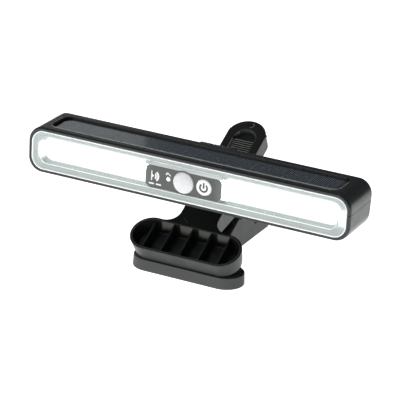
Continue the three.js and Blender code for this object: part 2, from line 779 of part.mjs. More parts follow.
addPiece(leverGroup, "upper_lever", upperLever(), blackPlastic());

// Rubber pad under a jaw: a thin sheet with ridges across the grip.
function jawPad(y0, y1, side, z) {
  const middle = (y0 + y1) / 2;
  const corner = (y1 - y0) / 2 - 0.1;
  const out = side * pad.base;
  const sheet = alongZ(
    roundedRect(2 * pad.half, y1 - y0, corner, 0, middle), Math.min(z, z + out), Math.max(z, z + out), 6,
  );
  const count = Math.floor((y1 - y0 - 2) / pad.ridgePitch) + 1;
  const first = middle - ((count - 1) * pad.ridgePitch) / 2;
  const ridges = Array.from({ length: count }, (_, i) => {
    const y = first + i * pad.ridgePitch;
    const reach = pad.half - corner + Math.sqrt(Math.max(0, corner ** 2 - (Math.abs(y - middle) + 0.8) ** 2));
    const section = polygon([
      [y - 0.9, z + out * 0.8],
      [y - 0.35, z + out + side * pad.ridge],
      [y + 0.35, z + out + side * pad.ridge],
      [y + 0.9, z + out * 0.8],
    ]);
    return alongX(section, -reach, reach);
  });
  return union([sheet, ...ridges]);
}

addPiece(leverGroup, "upper_jaw_pad", jawPad(-6.5, 11.5, -1, -upperJaw.depth - gap), blackRubber());
addPiece(lamp, "lower_jaw_pad", jawPad(12.5, 27.5, 1, lowerJaw.height + gap), blackRubber());

// ---------------------------------------------------------------- tilt hinge hardware

function boltAcross(y, z) {
  const { boltRadius, headRadius, headLength } = tilt;
  const shank = alongX(circle(boltRadius, y, z), -lever.half + 0.6, lever.half - headLength + 0.5, 8);
  const head = alongX(circle(headRadius, y, z), lever.half - headLength, lever.half - 0.2, 8);
  const socket = alongX(circle(1.5, y, z), lever.half - 1.7, lever.half + 1, 3);
  return cut(union([shank, head]), [socket]);
}

function nutOn(y, z) {
  const hexagon = circle(tilt.headRadius, y, z);
  const nut = alongX(hexagon, -lever.half + 0.3, -lever.half + tilt.headLength, 3);
  return cut(nut, [alongX(circle(tilt.boltRadius + gap, y, z), -20, 0, 8)]);
}

addPiece(leverGroup, "tilt_bolt", boltAcross(tiltInLever.y, tiltInLever.z), steel());
addPiece(leverGroup, "tilt_nut", nutOn(tiltInLever.y, tiltInLever.z), steel());
[-1, 1].forEach((side, i) => {
  const near = tilt.knuckle + gap;
  const far = near + tilt.washer;
  const washer = circle(tilt.washerRadius, tiltInLever.y, tiltInLever.z);
  const ring = alongX(washer, Math.min(side * near, side * far), Math.max(side * near, side * far), 10);
  const bore = alongX(circle(tilt.boltRadius + gap, tiltInLever.y, tiltInLever.z), -20, 20, 8);
  addPiece(leverGroup, `friction_washer_${i + 1}`, ring.subtract(bore), material(0xc9c7bf, 0.6));
});

// ---------------------------------------------------------------- lower lever, pivot and spring

// The lower lever's wall, seen from the side: it climbs from the jaw to the pivot and falls to the handle.
function lowerWall() {
  const { wallFootY, rimZ, kneeY, kneeZ } = lowerStrip;
  const rimEndY = rearMostY - 9;
  const earBack = Math.PI / 2 - 1;
  const climb = Math.tan(leverTilt);
  const axisOverEdge = (pivot.z - (pivot.y - wallFootY) * climb) * Math.cos(leverTilt);
  const earFront = 1.5 * Math.PI + leverTilt - Math.acos(axisOverEdge / pivot.lowerEar);
  const shape = new THREE.Shape();
  shape.moveTo(wallFootY, 0);
  shape.lineTo(rimEndY, 0);
  shape.lineTo(rimEndY, rimZ);
  shape.lineTo(kneeY, kneeZ);
  shape.absarc(pivot.y, pivot.z, pivot.lowerEar, earBack, earFront);
  return shape;
}

function lowerLever() {
  const { half, endY, endRadius, rimZ } = lowerStrip;
  const jaw = jawTrough(
    { half: lowerJaw.half, radius: lowerJaw.radius, y: lowerJaw.y },
    { half: lowerJaw.topHalf, radius: lowerJaw.topRadius, y: lowerJaw.y },
    0,
    lowerJaw.height,
  );
  const radius = lowerJaw.radius - jawWall;
  const trough = alongZ(
    roundedRect(2 * (lowerJaw.half - jawWall), 2 * radius, radius, 0, lowerJaw.y), -5, 5, 12,
  );
  const outer = leverStrip(half, endY, endRadius);
  const inner = leverStrip(half - lever.wall, endY, endRadius - lever.wall);
  const strip = alongZ(outer, 0, lever.plate, 8);
  const endWall = cut(alongZ(outer, 0.5, rimZ, 8), [alongZ(inner, -1, rimZ + 3, 8)])
    .intersect(box(-20, 20, endY, 125, 0.5, rimZ));
  const base = union([strip, endWall]).translate(0, lowerJaw.y, 0);
  const fillets = neckFillets(half, lowerJaw.y + lowerJaw.radius, 0, lever.plate);
  const walls = skirtPair(lowerWall(), half, lever.wall);
  return cut(union([jaw, cut(union([base, ...fillets]), [trough]), ...walls]), [
    alongX(circle(pivot.hole, pivot.y, pivot.z), -30, 30, 8),
  ]);
}

addPiece(lamp, "lower_lever", lowerLever(), blackPlastic());

// The pin's head and clip stand outside the upper lever's ears.
function pivotPin() {
  const shank = alongX(circle(pivot.pin, pivot.y, pivot.z), -lever.half - 2, lever.half + 0.6, 8);
  const headX = lever.half + gap;
  const head = alongX(circle(pivot.head, pivot.y, pivot.z), headX, headX + pivot.headLength, 8);
  const groove = alongX(circle(pivot.pin + 1, pivot.y, pivot.z), -lever.half - 1.5, -lever.half - 0.4, 8)
    .subtract(alongX(circle(pivot.pin - 0.6, pivot.y, pivot.z), -30, 0, 8));
  return union([shank, head]).subtract(groove);
}

function retainingClip() {
  const body = alongX(circle(pivot.head - 0.2, pivot.y, pivot.z), -lever.half - 1.2, -lever.half - 0.7, 8);
  const bore = alongX(circle(pivot.pin - 0.6 + gap, pivot.y, pivot.z), -30, 0, 8);
  const mouth = box(-30, 0, pivot.y - 1.3, pivot.y + 1.3, pivot.z - 8, pivot.z);
  return cut(body, [bore, mouth]);
}

// A torsion spring: turns round the pin, with a straight leg under each handle.
function torsionSpring() {
  const { coil, turns, pitch, upperLeg, lowerLeg } = spring;
  const halfLength = (turns * pitch) / 2;
  const start = upperLeg.slope + Math.PI / 2;
  const sweep = lowerLeg.slope - Math.PI / 2 - start + (turns + 1) * 2 * Math.PI;
  const onCoil = (share) => {
    const angle = start + sweep * share;
    const x = halfLength * (1 - 2 * share);
    return new THREE.Vector3(x, pivot.y + coil * Math.cos(angle), pivot.z + coil * Math.sin(angle));
  };
  const onLeg = (share, leg) => {
    const along = new THREE.Vector3(0, Math.cos(leg.slope), Math.sin(leg.slope));
    return [0.1, 0.5, 1].map((part) => onCoil(share).addScaledVector(along, leg.length * part));
  };
  const steps = 9 * turns;
  const coilPoints = Array.from({ length: steps + 1 }, (_, i) => onCoil(i / steps));
  const route = new THREE.CatmullRomCurve3([
    ...onLeg(0, upperLeg).reverse(), ...coilPoints, ...onLeg(1, lowerLeg),
  ]);
  return solidOf(new THREE.ExtrudeGeometry(circle(spring.wire), {
    steps: 80,
    extrudePath: route,
    curveSegments: 3,
  }));
}

addPiece(lamp, "pivot_pin", pivotPin(), steel());
addPiece(lamp, "pivot_retaining_clip", retainingClip(), steel());
addPiece(lamp, "torsion_spring", torsionSpring(), steel());

export default lamp;
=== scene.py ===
import math
import bmesh
import bpy
from mathutils import Matrix, Vector


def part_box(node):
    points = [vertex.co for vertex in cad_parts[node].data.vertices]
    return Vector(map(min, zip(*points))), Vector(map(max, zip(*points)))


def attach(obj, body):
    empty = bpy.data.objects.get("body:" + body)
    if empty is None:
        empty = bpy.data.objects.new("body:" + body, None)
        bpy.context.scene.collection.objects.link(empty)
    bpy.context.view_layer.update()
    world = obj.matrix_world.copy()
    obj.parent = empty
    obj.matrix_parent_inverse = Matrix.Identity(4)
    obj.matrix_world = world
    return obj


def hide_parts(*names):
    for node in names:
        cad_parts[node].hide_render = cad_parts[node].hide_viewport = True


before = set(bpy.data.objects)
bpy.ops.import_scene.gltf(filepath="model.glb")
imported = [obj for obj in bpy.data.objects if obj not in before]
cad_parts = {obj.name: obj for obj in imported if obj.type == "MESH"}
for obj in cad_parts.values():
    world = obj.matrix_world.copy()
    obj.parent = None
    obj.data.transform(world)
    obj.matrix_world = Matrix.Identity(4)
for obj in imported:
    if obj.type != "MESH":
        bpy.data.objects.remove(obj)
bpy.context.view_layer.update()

# ---- frames and sizes
# Shapes are built in millimetres in three frames: the lamp's, the light bar's and the upper lever's.

MM = 0.001
FRONT_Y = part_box("upper_shell")[0].y
BAR_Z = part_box("lower_shell")[0].z
LAMP = Matrix.Translation((0, FRONT_Y, 0)) @ Matrix.Scale(MM, 4)
BAR = Matrix.Translation((0, FRONT_Y, BAR_Z)) @ Matrix.Scale(MM, 4)
LEVER_TILT = math.radians(29.37)
LEVER_ORIGIN = Vector((0, 7.54, 27.2))
LEVER = LAMP @ Matrix.Translation(LEVER_ORIGIN) @ Matrix.Rotation(LEVER_TILT, 4, "X")

BAR_LENGTH, BAR_HEIGHT, BAR_CORNER = 250, 32.4, 10.5
SKIN, SKIN_LOW = 0.45, 1.1
FACE_Z = BAR_HEIGHT / 2 - 0.4
DEPTH_LOW, DEPTH_HIGH = 36.4, 39.9
PARTING_Z = 19.0
RECESS_LENGTH, RECESS_FRONT, RECESS_BACK, RECESS_CORNER = 224, 6.8, 33.4, 6
RECESS_FLOOR = 29.0
RECESS_Y = (RECESS_FRONT + RECESS_BACK) / 2
LENS_LENGTH, LENS_HEIGHT, LENS_CORNER = 245.4, 29.2, 9.4
LEDGE_LENGTH, LEDGE_HEIGHT, LEDGE_CORNER = 232.4, 18.9, 6.3
PLATE_LENGTH, PLATE_HEIGHT, PLATE_CORNER, PLATE_BULGE = 59.0, 16.3, 3.8, 8.7
PLATE_X, PLATE_Z, DOME_X = -1.0, FACE_Z - 0.25, -0.5
DOME_RADIUS, DOME_RISE = 7.8, 2.4
BUTTON_X, BUTTON_RADIUS, BUTTON_FRONT = 15.4, 5.8, -0.4
INDICATOR_X, INDICATOR_Z, INDICATOR_RADIUS = -12.5, FACE_Z + 0.05, 1.55
LEVER_HALF, LEVER_END_Y, LEVER_END_RADIUS, NECK = 14.9, 105.1, 15.2, 10
PIVOT_Y, PIVOT_Z = 76, 33
TILT_Y, TILT_Z, TILT_RADIUS = 52, 17, 10.5
PIVOT_BORE, TILT_BORE = 2.8, 2.3


# ---- outlines

def arc(x, y, radius, start, end, steps):
    turn = (end - start) / steps
    return [
        (x + radius * math.cos(start + turn * i), y + radius * math.sin(start + turn * i))
        for i in range(steps + 1)
    ]


def quarter(steps):
    """Angles from nothing to a right angle."""
    return [math.pi / 2 * i / steps for i in range(steps + 1)]


def oblong(x0, y0, x1, y1):
    return [(x0, y0), (x1, y0), (x1, y1), (x0, y1)]


def rounded(length, height, corner, x=0, y=0, steps=12):
    points = []
    for i, (side, up) in enumerate(((1, -1), (1, 1), (-1, 1), (-1, -1))):
        start = math.radians(90 * i - 90)
        centre_x = x + side * (length / 2 - corner)
        centre_y = y + up * (height / 2 - corner)
        points += arc(centre_x, centre_y, corner, start, start + math.pi / 2, steps)
    return points


def circle(radius, x=0, y=0, steps=48):
    return arc(x, y, radius, 0, 2 * math.pi, steps)[:-1]


def arc_band(x, y, radius, width, start, end, steps=20):
    outer = arc(x, y, radius + width / 2, start, end, steps)
    inner = arc(x, y, radius - width / 2, end, start, steps)
    return outer + inner


def area(points):
    return sum(a[0] * b[1] - b[0] * a[1] for a, b in zip(points, points[1:] + points[:1])) / 2


def inset_by(points, distance):
    """The outline moved in by a distance, or out where it is negative."""
    if abs(distance) < 1e-9:
        return points
    turned = 1 if area(points) > 0 else -1
    moved = []
    for before, here, after in zip(points[-1:] + points[:-1], points, points[1:] + points[:1]):
        sides = []
        for a, b in ((before, here), (here, after)):
            edge = Vector((b[0] - a[0], b[1] - a[1]))
            if edge.length > 1e-7:
                sides.append(Vector((-edge.y, edge.x)).normalized() * turned)
        normal = sum(sides, Vector((0, 0)))
        if normal.length < 1e-6:
            moved.append(here)
            continue
        normal.normalize()
        reach = distance / max(0.35, normal.dot(sides[0]))
        moved.append((here[0] + normal.x * reach, here[1] + normal.y * reach))
    return moved


def stand(point, axis, height):
    """A point of an outline as a point of space, at a height along the axis."""
    a, b = point
    return Vector({"X": (height, a, b), "Y": (a, height, b), "Z": (a, b, height)}[axis])


# ---- solids

def loft(rings, loop=False):
    shape = bmesh.new()
    rows = [[shape.verts.new(p) for p in ring] for ring in rings]
    following = rows[1:] + (rows[:1] if loop else [])
    for low, high in zip(rows, following):
        count = len(low)
        for i in range(count):
            j = (i + 1) % count
            shape.faces.new((low[i], low[j], high[j], high[i]))
    if not loop:
        shape.faces.new(rows[0])
        shape.faces.new(rows[-1])
    bmesh.ops.remove_doubles(shape, verts=shape.verts, dist=1e-4)
    bmesh.ops.recalc_face_normals(shape, faces=shape.faces)
    return shape


def swept(outline, profile, axis):
    """A solid with that outline; each level of the profile is (inset, height)."""
    return loft([[stand(p, axis, height) for p in inset_by(outline, inset)] for inset, height in profile])


def edge_profile(low, high, radius_low, radius_high=None):
    """Levels of a sweep from low to high, with its two edges rounded."""
    radius_high = radius_low if radius_high is None else radius_high
    turns = quarter(4)
    profile = [(0, low)]
    if radius_low:
        profile = [(radius_low * (1 - math.sin(t)), low + radius_low * (1 - math.cos(t))) for t in turns]
    if radius_high:
        profile += [(radius_high * (1 - math.cos(t)), high - radius_high * (1 - math.sin(t))) for t in turns]
    else:
        profile.append((0, high))
    return profile


def block(outline, axis, low, high, radius_low=0, radius_high=None):
    return swept(outline, edge_profile(low, high, radius_low, radius_high), axis)


def ringed(levels, axis):
    """A closed ring; each level is (outline, inset, height)."""
    rings = [[stand(p, axis, height) for p in inset_by(o, inset)] for o, inset, height in levels]
    return loft(rings, loop=True)


def framed(outer, inner, axis, low, high, edge=0.15):
    """A flat ring between two rounded outlines that have the same number of points."""
    return ringed([
        (outer, 0, high), (outer, 0, low + edge), (outer, edge, low),
        (inner, -edge, low), (inner, 0, low + edge), (inner, 0, high),
    ], axis)


def lathe(profile, centre, axis, steps=64, loop=False):
    """Turns (radius, height) points about an axis; the solid closes on the axis or, in a loop, on itself."""
    rings = []
    for radius, height in profile:
        turned = circle(max(radius, 1e-3), steps=steps)
        rings.append([stand((centre[0] + x, centre[1] + y), axis, height) for x, y in turned])
    return loft(rings, loop)


def tube(path, radius, sides=12):
    """A round wire along a path of points."""
    rings = []
    forward = (path[1] - path[0]).normalized()
    across = forward.orthogonal().normalized()
    for i, point in enumerate(path):
        ahead = path[min(i + 1, len(path) - 1)] - path[max(i - 1, 0)]
        forward = ahead.normalized()
        across = (across - forward * across.dot(forward)).normalized()
        up = forward.cross(across)
        rings.append([
            point + across * (radius * math.cos(t)) + up * (radius * math.sin(t))
            for t in (2 * math.pi * k / sides for k in range(sides))
        ])
    return loft(rings)


def object_of(shape, name):
    mesh = bpy.data.meshes.new(name)
    shape.to_mesh(mesh)
    shape.free()
    made = bpy.data.objects.new(name, mesh)
    bpy.context.scene.collection.objects.link(made)
    return made


def combined(base, others, operation):
    """The base with the other solids added or taken away."""
    start = object_of(base, "base")
    tools = [object_of(other, "tool") for other in others]
    for tool in tools:
        step = start.modifiers.new("step", "BOOLEAN")
        step.object = tool
        step.operation = operation
        step.solver = "MANIFOLD"
    bpy.context.view_layer.update()
    result = bmesh.new()
    result.from_object(start, bpy.context.evaluated_depsgraph_get())
    for made in [start, *tools]:
        mesh = made.data
        bpy.data.objects.remove(made)
        bpy.data.meshes.remove(mesh)
    bmesh.ops.remove_doubles(result, verts=result.verts, dist=1e-4)
    return result


def union(shapes):
    return combined(shapes[0], shapes[1:], "UNION")


def without(shape, tools):
    return combined(shape, tools, "DIFFERENCE")


def joined(shapes):
    """Several separate solids as one mesh."""
    whole = shapes[0]
    for shape in shapes[1:]:
        mesh = bpy.data.meshes.new("part")
        shape.to_mesh(mesh)
        shape.free()
        whole.from_mesh(mesh)
        bpy.data.meshes.remove(mesh)
    return whole


def mirrored(make_shape):
    """A shape and its mirror image across the middle plane."""
    right, left = make_shape(), make_shape()
    bmesh.ops.scale(left, vec=(-1, 1, 1), verts=left.verts)
    bmesh.ops.reverse_faces(left, faces=left.faces)
    return [right, left]


SHARP_ANGLE = math.radians(38)


def piece(name, shape, place, look, body, replaces=()):
    shape.transform(place)
    mesh = bpy.data.meshes.new(name)
    shape.to_mesh(mesh)
    shape.free()
    mesh.materials.append(look)
    mesh.shade_smooth()
    mesh.set_sharp_from_angle(angle=SHARP_ANGLE)
    made = bpy.data.objects.new(name, mesh)
    bpy.context.scene.collection.objects.link(made)
    flat = made.modifiers.new("flat faces stay flat", "WEIGHTED_NORMAL")
    flat.keep_sharp = True
    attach(made, body)
    if replaces:
        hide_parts(*replaces)


def bar_piece(name, shape, look, replaces=(), body="light_bar"):
    piece(name, shape, BAR, look, body, replaces)


def lever_piece(name, shape, look, replaces=()):
    piece(name, shape, LEVER, look, "upper_lever", replaces)


def base_piece(name, shape, look, replaces=()):
    piece(name, shape, LAMP, look, "lower_lever", replaces)


# ---- materials
# Scales of noise and cells are per metre, and bump distances are metres.

class Look:
    """A node material under construction: Principled BSDF with helpers for procedural detail."""

    def __init__(self, name, color, roughness, **sockets):
        self.material = bpy.data.materials.new(name)
        self.material.use_nodes = True
        self.nodes = self.material.node_tree.nodes
        self.links = self.material.node_tree.links
        self.shader = self.nodes["Principled BSDF"]
        self.color = (*color, 1)
        self.shader.inputs["Base Color"].default_value = self.color
        self.shader.inputs["Roughness"].default_value = roughness
        for socket, value in sockets.items():
            self.shader.inputs[socket.replace("_", " ")].default_value = value
        self.place = self.nodes.new("ShaderNodeTexCoord").outputs["Object"]
        self.height = None

    def node(self, kind, **settings):
        made = self.nodes.new(kind)
        for name, value in settings.items():
            setattr(made, name, value)
        return made

    def noise(self, scale, detail=3, roughness=0.55, stretch=None):
        made = self.node("ShaderNodeTexNoise")
        made.inputs["Scale"].default_value = scale
        made.inputs["Detail"].default_value = detail
        made.inputs["Roughness"].default_value = roughness
        source = self.place
        if stretch:
            mapping = self.node("ShaderNodeMapping")
            mapping.inputs["Scale"].default_value = stretch
            self.links.new(self.place, mapping.inputs["Vector"])
            source = mapping.outputs["Vector"]
        self.links.new(source, made.inputs["Vector"])
        return made.outputs["Fac"]

    def cells(self, scale, randomness):
        """The distance to the nearest edge between irregular cells."""
        made = self.node("ShaderNodeTexVoronoi", feature="DISTANCE_TO_EDGE")
        made.inputs["Scale"].default_value = scale
        made.inputs["Randomness"].default_value = randomness
        self.links.new(self.place, made.inputs["Vector"])
        return made.outputs["Distance"]

    def ranged(self, value, low, high, to_low, to_high):
        made = self.node("ShaderNodeMapRange")
        made.inputs["From Min"].default_value = low
        made.inputs["From Max"].default_value = high
        made.inputs["To Min"].default_value = to_low
        made.inputs["To Max"].default_value = to_high
        self.links.new(value, made.inputs["Value"])
        return made.outputs["Result"]

    def maths(self, operation, a, b):
        made = self.node("ShaderNodeMath", operation=operation)
        for socket, value in zip(made.inputs, (a, b)):
            if isinstance(value, (int, float)):
                socket.default_value = value
            else:
                self.links.new(value, socket)
        return made.outputs[0]

    def along(self, axis):
        split = self.node("ShaderNodeSeparateXYZ")
        self.links.new(self.place, split.inputs[0])
        return split.outputs[axis]

    def tinted(self, amount, other):
        """Mixes another colour over the base colour by an amount from 0 to 1."""
        mix = self.node("ShaderNodeMix", data_type="RGBA")
        current = self.shader.inputs["Base Color"]
        if current.is_linked:
            self.links.new(current.links[0].from_socket, mix.inputs["A"])
        else:
            mix.inputs["A"].default_value = current.default_value
        mix.inputs["B"].default_value = (*other, 1)
        self.links.new(amount, mix.inputs["Factor"])
        self.links.new(mix.outputs["Result"], current)
        return self

    def stained(self, scale, low, high, amount, other, **settings):
        """Lets another colour show where noise of that scale is high."""
        return self.tinted(self.ranged(self.noise(scale, **settings), low, high, 0.0, amount), other)

    def rough(self, value, low, high):
        result = self.ranged(value, 0.3, 0.7, low, high)
        self.links.new(result, self.shader.inputs["Roughness"])
        return self

    def bumped(self, value, strength, distance):
        bump = self.node("ShaderNodeBump")
        bump.inputs["Strength"].default_value = strength
        bump.inputs["Distance"].default_value = distance
        self.links.new(value, bump.inputs["Height"])
        if self.height:
            self.links.new(self.height, bump.inputs["Normal"])
        self.height = bump.outputs["Normal"]
        self.links.new(self.height, self.shader.inputs["Normal"])
        return self


def scaled(color, share):
    return tuple(share * c for c in color)


def moulded(name, color, dusty, roughness, spread=0.06, level=0.5):
    """Moulded plastic: fine spark-eroded grain, faint flow marks and handling wear in the gloss."""
    look = Look(name, color, roughness, Specular_IOR_Level=level)
    flow = look.noise(38, detail=4, stretch=(0.5, 1.0, 1.0))
    look.tinted(look.ranged(flow, 0.35, 0.75, 0.0, 0.55), dusty)
    look.stained(260, 0.62, 0.8, 0.35, dusty, detail=5, roughness=0.65)
    look.rough(look.noise(95, detail=5), roughness - spread, roughness + spread)
    look.bumped(look.noise(2600, detail=2), 0.35, 0.00003)
    look.bumped(flow, 0.06, 0.0004)
    return look.material


def metal(name, color, roughness):
    look = Look(name, color, roughness, Metallic=1.0)
    brushed = look.noise(900)
    look.stained(420, 0.45, 0.8, 0.5, scaled(color, 0.6))
    look.rough(brushed, roughness - 0.08, roughness + 0.1)
    look.bumped(brushed, 0.2, 0.00002)
    return look.material


def rubber_look():
    look = Look("pad_rubber", (0.012, 0.012, 0.012), 0.75, Specular_IOR_Level=0.35)
    look.stained(500, 0.5, 0.75, 0.8, (0.03, 0.03, 0.029))
    look.rough(look.noise(180), 0.62, 0.85)
    look.bumped(look.noise(1800, detail=4), 0.5, 0.00006)
    return look.material


def lens_look(name, alpha, roughness, color=(0.93, 0.97, 0.96), glow=0.0):
    look = Look(
        name, color, roughness, Alpha=alpha, IOR=1.49,
        Emission_Strength=glow, Emission_Color=(0.96, 1.0, 0.99, 1),
    )
    streaks = look.noise(160, stretch=(0.12, 1, 1))
    look.tinted(look.ranged(streaks, 0.45, 0.7, 0.0, 0.5), (0.78, 0.84, 0.83))
    look.rough(look.noise(700), roughness * 0.7, roughness * 1.4)
    look.bumped(streaks, 0.12, 0.0001)
    return look.material


def control_look():
    """The grey control plate, with painted light that tints it lighter and greener towards its two ends."""
    look = Look("control_plate", (0.088, 0.091, 0.091), 0.42)
    look.stained(55, 0.4, 0.75, 0.7, (0.105, 0.12, 0.112))
    look.stained(4200, 0.5, 0.7, 0.35, (0.065, 0.067, 0.067), detail=2)
    from_middle = look.maths("ABSOLUTE", look.maths("ADD", look.along("X"), -PLATE_X * MM), 0)
    half = PLATE_LENGTH / 2
    # painted light: the plate's two ends are tinted lighter and greener, as if lit from the lens round them
    painted_light_at_ends = look.ranged(from_middle, (half - 6) * MM, (half - 0.5) * MM, 0.0, 0.75)
    look.tinted(painted_light_at_ends, (0.15, 0.178, 0.158))
    look.rough(look.noise(200), 0.36, 0.48)
    look.bumped(look.noise(3800, detail=2), 0.35, 0.00003)
    return look.material


def dome_look():
    """Frosted plastic with the faint facets of a sensor's lens."""
    look = Look(
        "frosted_dome", (0.82, 0.84, 0.85), 0.38,
        Subsurface_Weight=0.25, Subsurface_Radius=(0.002, 0.002, 0.002),
    )
    facets = look.cells(330, 0.55)
    look.stained(240, 0.45, 0.65, 0.6, (0.76, 0.73, 0.74), detail=2)
    look.tinted(look.ranged(facets, 0.0, 0.12, 0.35, 0.0), (0.66, 0.69, 0.71))
    look.rough(look.noise(800), 0.3, 0.5)
    look.bumped(facets, 0.5, 0.00025)
    return look.material


def white_look(name, color, roughness, glow=0.0):
    look = Look(name, color, roughness, Emission_Strength=glow, Emission_Color=(*color, 1))
    look.stained(150, 0.5, 0.8, 0.5, scaled(color, 0.93))
    look.rough(look.noise(600), roughness - 0.06, roughness + 0.06)
    look.bumped(look.noise(2500, detail=2), 0.2, 0.00002)
    return look.material


def reflector_look():
    """White reflector, lit at its floor, at its two ends and beside the control plate."""
    look = Look("reflector_white", (0.3, 0.335, 0.33), 0.35, Emission_Color=(0.97, 1.0, 1.0, 1))
    across, depth, height = (look.along(axis) for axis in "XYZ")
    outward = look.maths("ABSOLUTE", across, 0)

    def fade(value, start, end, first, last, origin=0.0):
        return look.ranged(value, origin + start * MM, origin + end * MM, first, last)

    def masked(value, *masks):
        for mask in masks:
            value = look.maths("MULTIPLY", value, mask)
        return value

    below_top = fade(height, 22.3, 24.2, 1.0, 0.0, BAR_Z)
    floor = masked(fade(depth, 6.6, 8.6, 0.0, 1.6, FRONT_Y), below_top)
    painted_light_at_ends = masked(
        fade(outward, 113, 116.5, 0.0, 1.5),
        fade(height, 8, 11, 0.0, 1.0, BAR_Z),
        fade(height, 19, 23, 1.0, 0.0, BAR_Z),
        fade(across, -119, -118, 0.0, 1.0),
    )
    beside = masked(fade(outward, 35, 37, 1.5, 0.0), below_top, fade(height, 8.5, 10.5, 0.0, 1.0, BAR_Z))
    glow = look.maths("MAXIMUM", look.maths("MAXIMUM", floor, beside), painted_light_at_ends)
    look.links.new(glow, look.shader.inputs["Emission Strength"])
    look.stained(180, 0.45, 0.7, 0.6, (0.25, 0.285, 0.28), stretch=(0.2, 1, 1))
    look.bumped(look.noise(1500), 0.15, 0.00004)
    return look.material


def diode_look():
    """Diode board: its chips, which stand in front of it, are the brightest."""
    look = Look("diode_board", (0.9, 0.92, 0.86), 0.4, Emission_Color=(0.97, 1.0, 1.0, 1))
    board_y, chip_rise = FRONT_Y + 10.5 * MM, 0.6 * MM
    glow = look.ranged(look.along("Y"), board_y - chip_rise, board_y, 6.0, 1.6)
    look.links.new(glow, look.shader.inputs["Emission Strength"])
    look.stained(900, 0.5, 0.7, 0.5, (0.8, 0.78, 0.6))
    return look.material


def cell_look():
    """Solar cell: deep navy with fine silver fingers printed across it."""
    look = Look(
        "solar_cell", (0.012, 0.019, 0.036), 0.2,
        Coat_Weight=1.0, Coat_Roughness=0.05, Coat_Tint=(0.78, 0.9, 0.96, 1),
    )
    finger_pitch, finger_width, soft, start = 1.5 * MM, 0.3 * MM, 0.04 * MM, 1.0
    across = look.maths("MODULO", look.maths("ADD", look.along("X"), start), finger_pitch)
    finger = look.ranged(across, finger_width - soft, finger_width + soft, 1.0, 0.0)
    look.stained(70, 0.35, 0.7, 0.8, (0.018, 0.026, 0.046), detail=4)
    look.tinted(look.maths("MULTIPLY", finger, 0.75), (0.42, 0.47, 0.52))
    look.rough(look.noise(300), 0.14, 0.3)
    look.bumped(look.noise(120, detail=2), 0.05, 0.0002)
    return look.material


def backing_look():
    look = Look("panel_resin", (0.006, 0.008, 0.011), 0.16, Coat_Weight=1.0, Coat_Roughness=0.04)
    look.stained(120, 0.45, 0.75, 0.7, (0.014, 0.017, 0.02))
    look.rough(look.noise(500), 0.1, 0.24)
    look.bumped(look.noise(160, detail=2), 0.06, 0.0002)
    return look.material


def wrap_look():
    look = Look("battery_wrap", (0.03, 0.11, 0.32), 0.3)
    look.stained(80, 0.4, 0.7, 0.6, (0.02, 0.07, 0.22))
    look.rough(look.noise(300), 0.22, 0.4)
    look.bumped(look.noise(220, stretch=(0.2, 1, 1)), 0.3, 0.0002)
    return look.material


def circuit_look():
    look = Look("circuit_board", (0.02, 0.12, 0.05), 0.35)
    tracks = look.cells(900, 0.2)
    look.tinted(look.ranged(tracks, 0.0, 0.06, 0.7, 0.0), (0.04, 0.2, 0.09))
    look.rough(look.noise(400), 0.28, 0.45)
    look.bumped(tracks, 0.3, 0.00005)
    return look.material


def ink_look(name, color, glow=0.0):
    look = Look(name, color, 0.5, Emission_Strength=glow, Emission_Color=(*color, 1))
    look.stained(3000, 0.5, 0.75, 0.4, scaled(color, 0.8))
    look.bumped(look.noise(4000), 0.2, 0.00001)
    return look.material


def plain_moulding(name, color):
    return moulded(name, color, scaled(color, 1.6), 0.5)


housing = moulded("housing_plastic", (0.014, 0.0175, 0.019), (0.026, 0.031, 0.033), 0.27, 0.05)
clamp = moulded("clamp_plastic", (0.009, 0.0105, 0.0105), (0.018, 0.0195, 0.02), 0.38, level=0.38)
# painted reflection: a much lighter copy of the clamp plastic, standing in for the lit floor reflected in the
# lower lever
lower_clamp_painted_reflection = moulded("lower_clamp_plastic", (0.082, 0.085, 0.084), (0.098, 0.102, 0.1), 0.5, level=0.12)
# painted highlight: pale plastic for lit edges round the hanging hole and the thumb recess
edge_highlight = moulded("painted_edge_highlight", (0.17, 0.18, 0.17), (0.25, 0.26, 0.25), 0.34)
rubber = rubber_look()
steel = metal("zinc_steel", (0.5, 0.5, 0.5), 0.35)
spring_steel = metal("spring_wire", (0.42, 0.42, 0.43), 0.28)
nylon = white_look("washer_nylon", (0.6, 0.58, 0.52), 0.5)
# the white print is real; its faint glow is painted light
printed_white_glowing = ink_look("printed_white_glowing", (0.82, 0.82, 0.8), glow=0.12)
printed_grey = ink_look("printed_grey", (0.05, 0.05, 0.052))


# ---- camera

CAMERA_AZIMUTH, CAMERA_ELEVATION, CAMERA_ROLL = (math.radians(a) for a in (25.22, 21.63, 3.25))
CAMERA_DISTANCE = 1571.2 * MM
CAMERA_LENS, SENSOR = 203.47, 36.0
TARGET = Vector((13.06 * MM, FRONT_Y, BAR_Z + 6.13 * MM))


def make_camera():
    flat = math.cos(CAMERA_ELEVATION)
    back = Vector((
        math.sin(CAMERA_AZIMUTH) * flat, -math.cos(CAMERA_AZIMUTH) * flat, math.sin(CAMERA_ELEVATION),
    ))
    level = Vector((math.cos(CAMERA_AZIMUTH), math.sin(CAMERA_AZIMUTH), 0))
    upright = back.cross(level)
    right = math.cos(CAMERA_ROLL) * level + math.sin(CAMERA_ROLL) * upright
    up = math.cos(CAMERA_ROLL) * upright - math.sin(CAMERA_ROLL) * level
    data = bpy.data.cameras.new("camera")
    data.lens, data.sensor_width = CAMERA_LENS, SENSOR
    data.clip_start, data.clip_end = 0.05, 50
    made = bpy.data.objects.new("camera", data)
    turn = Matrix((right, up, back)).transposed().to_4x4()
    made.matrix_world = Matrix.Translation(TARGET + back * CAMERA_DISTANCE) @ turn
    bpy.context.scene.collection.objects.link(made)
    bpy.context.scene.camera = made


make_camera()


# ---- light bar housing

def bar_back(z):
    return DEPTH_LOW + (DEPTH_HIGH - DEPTH_LOW) * z / BAR_HEIGHT


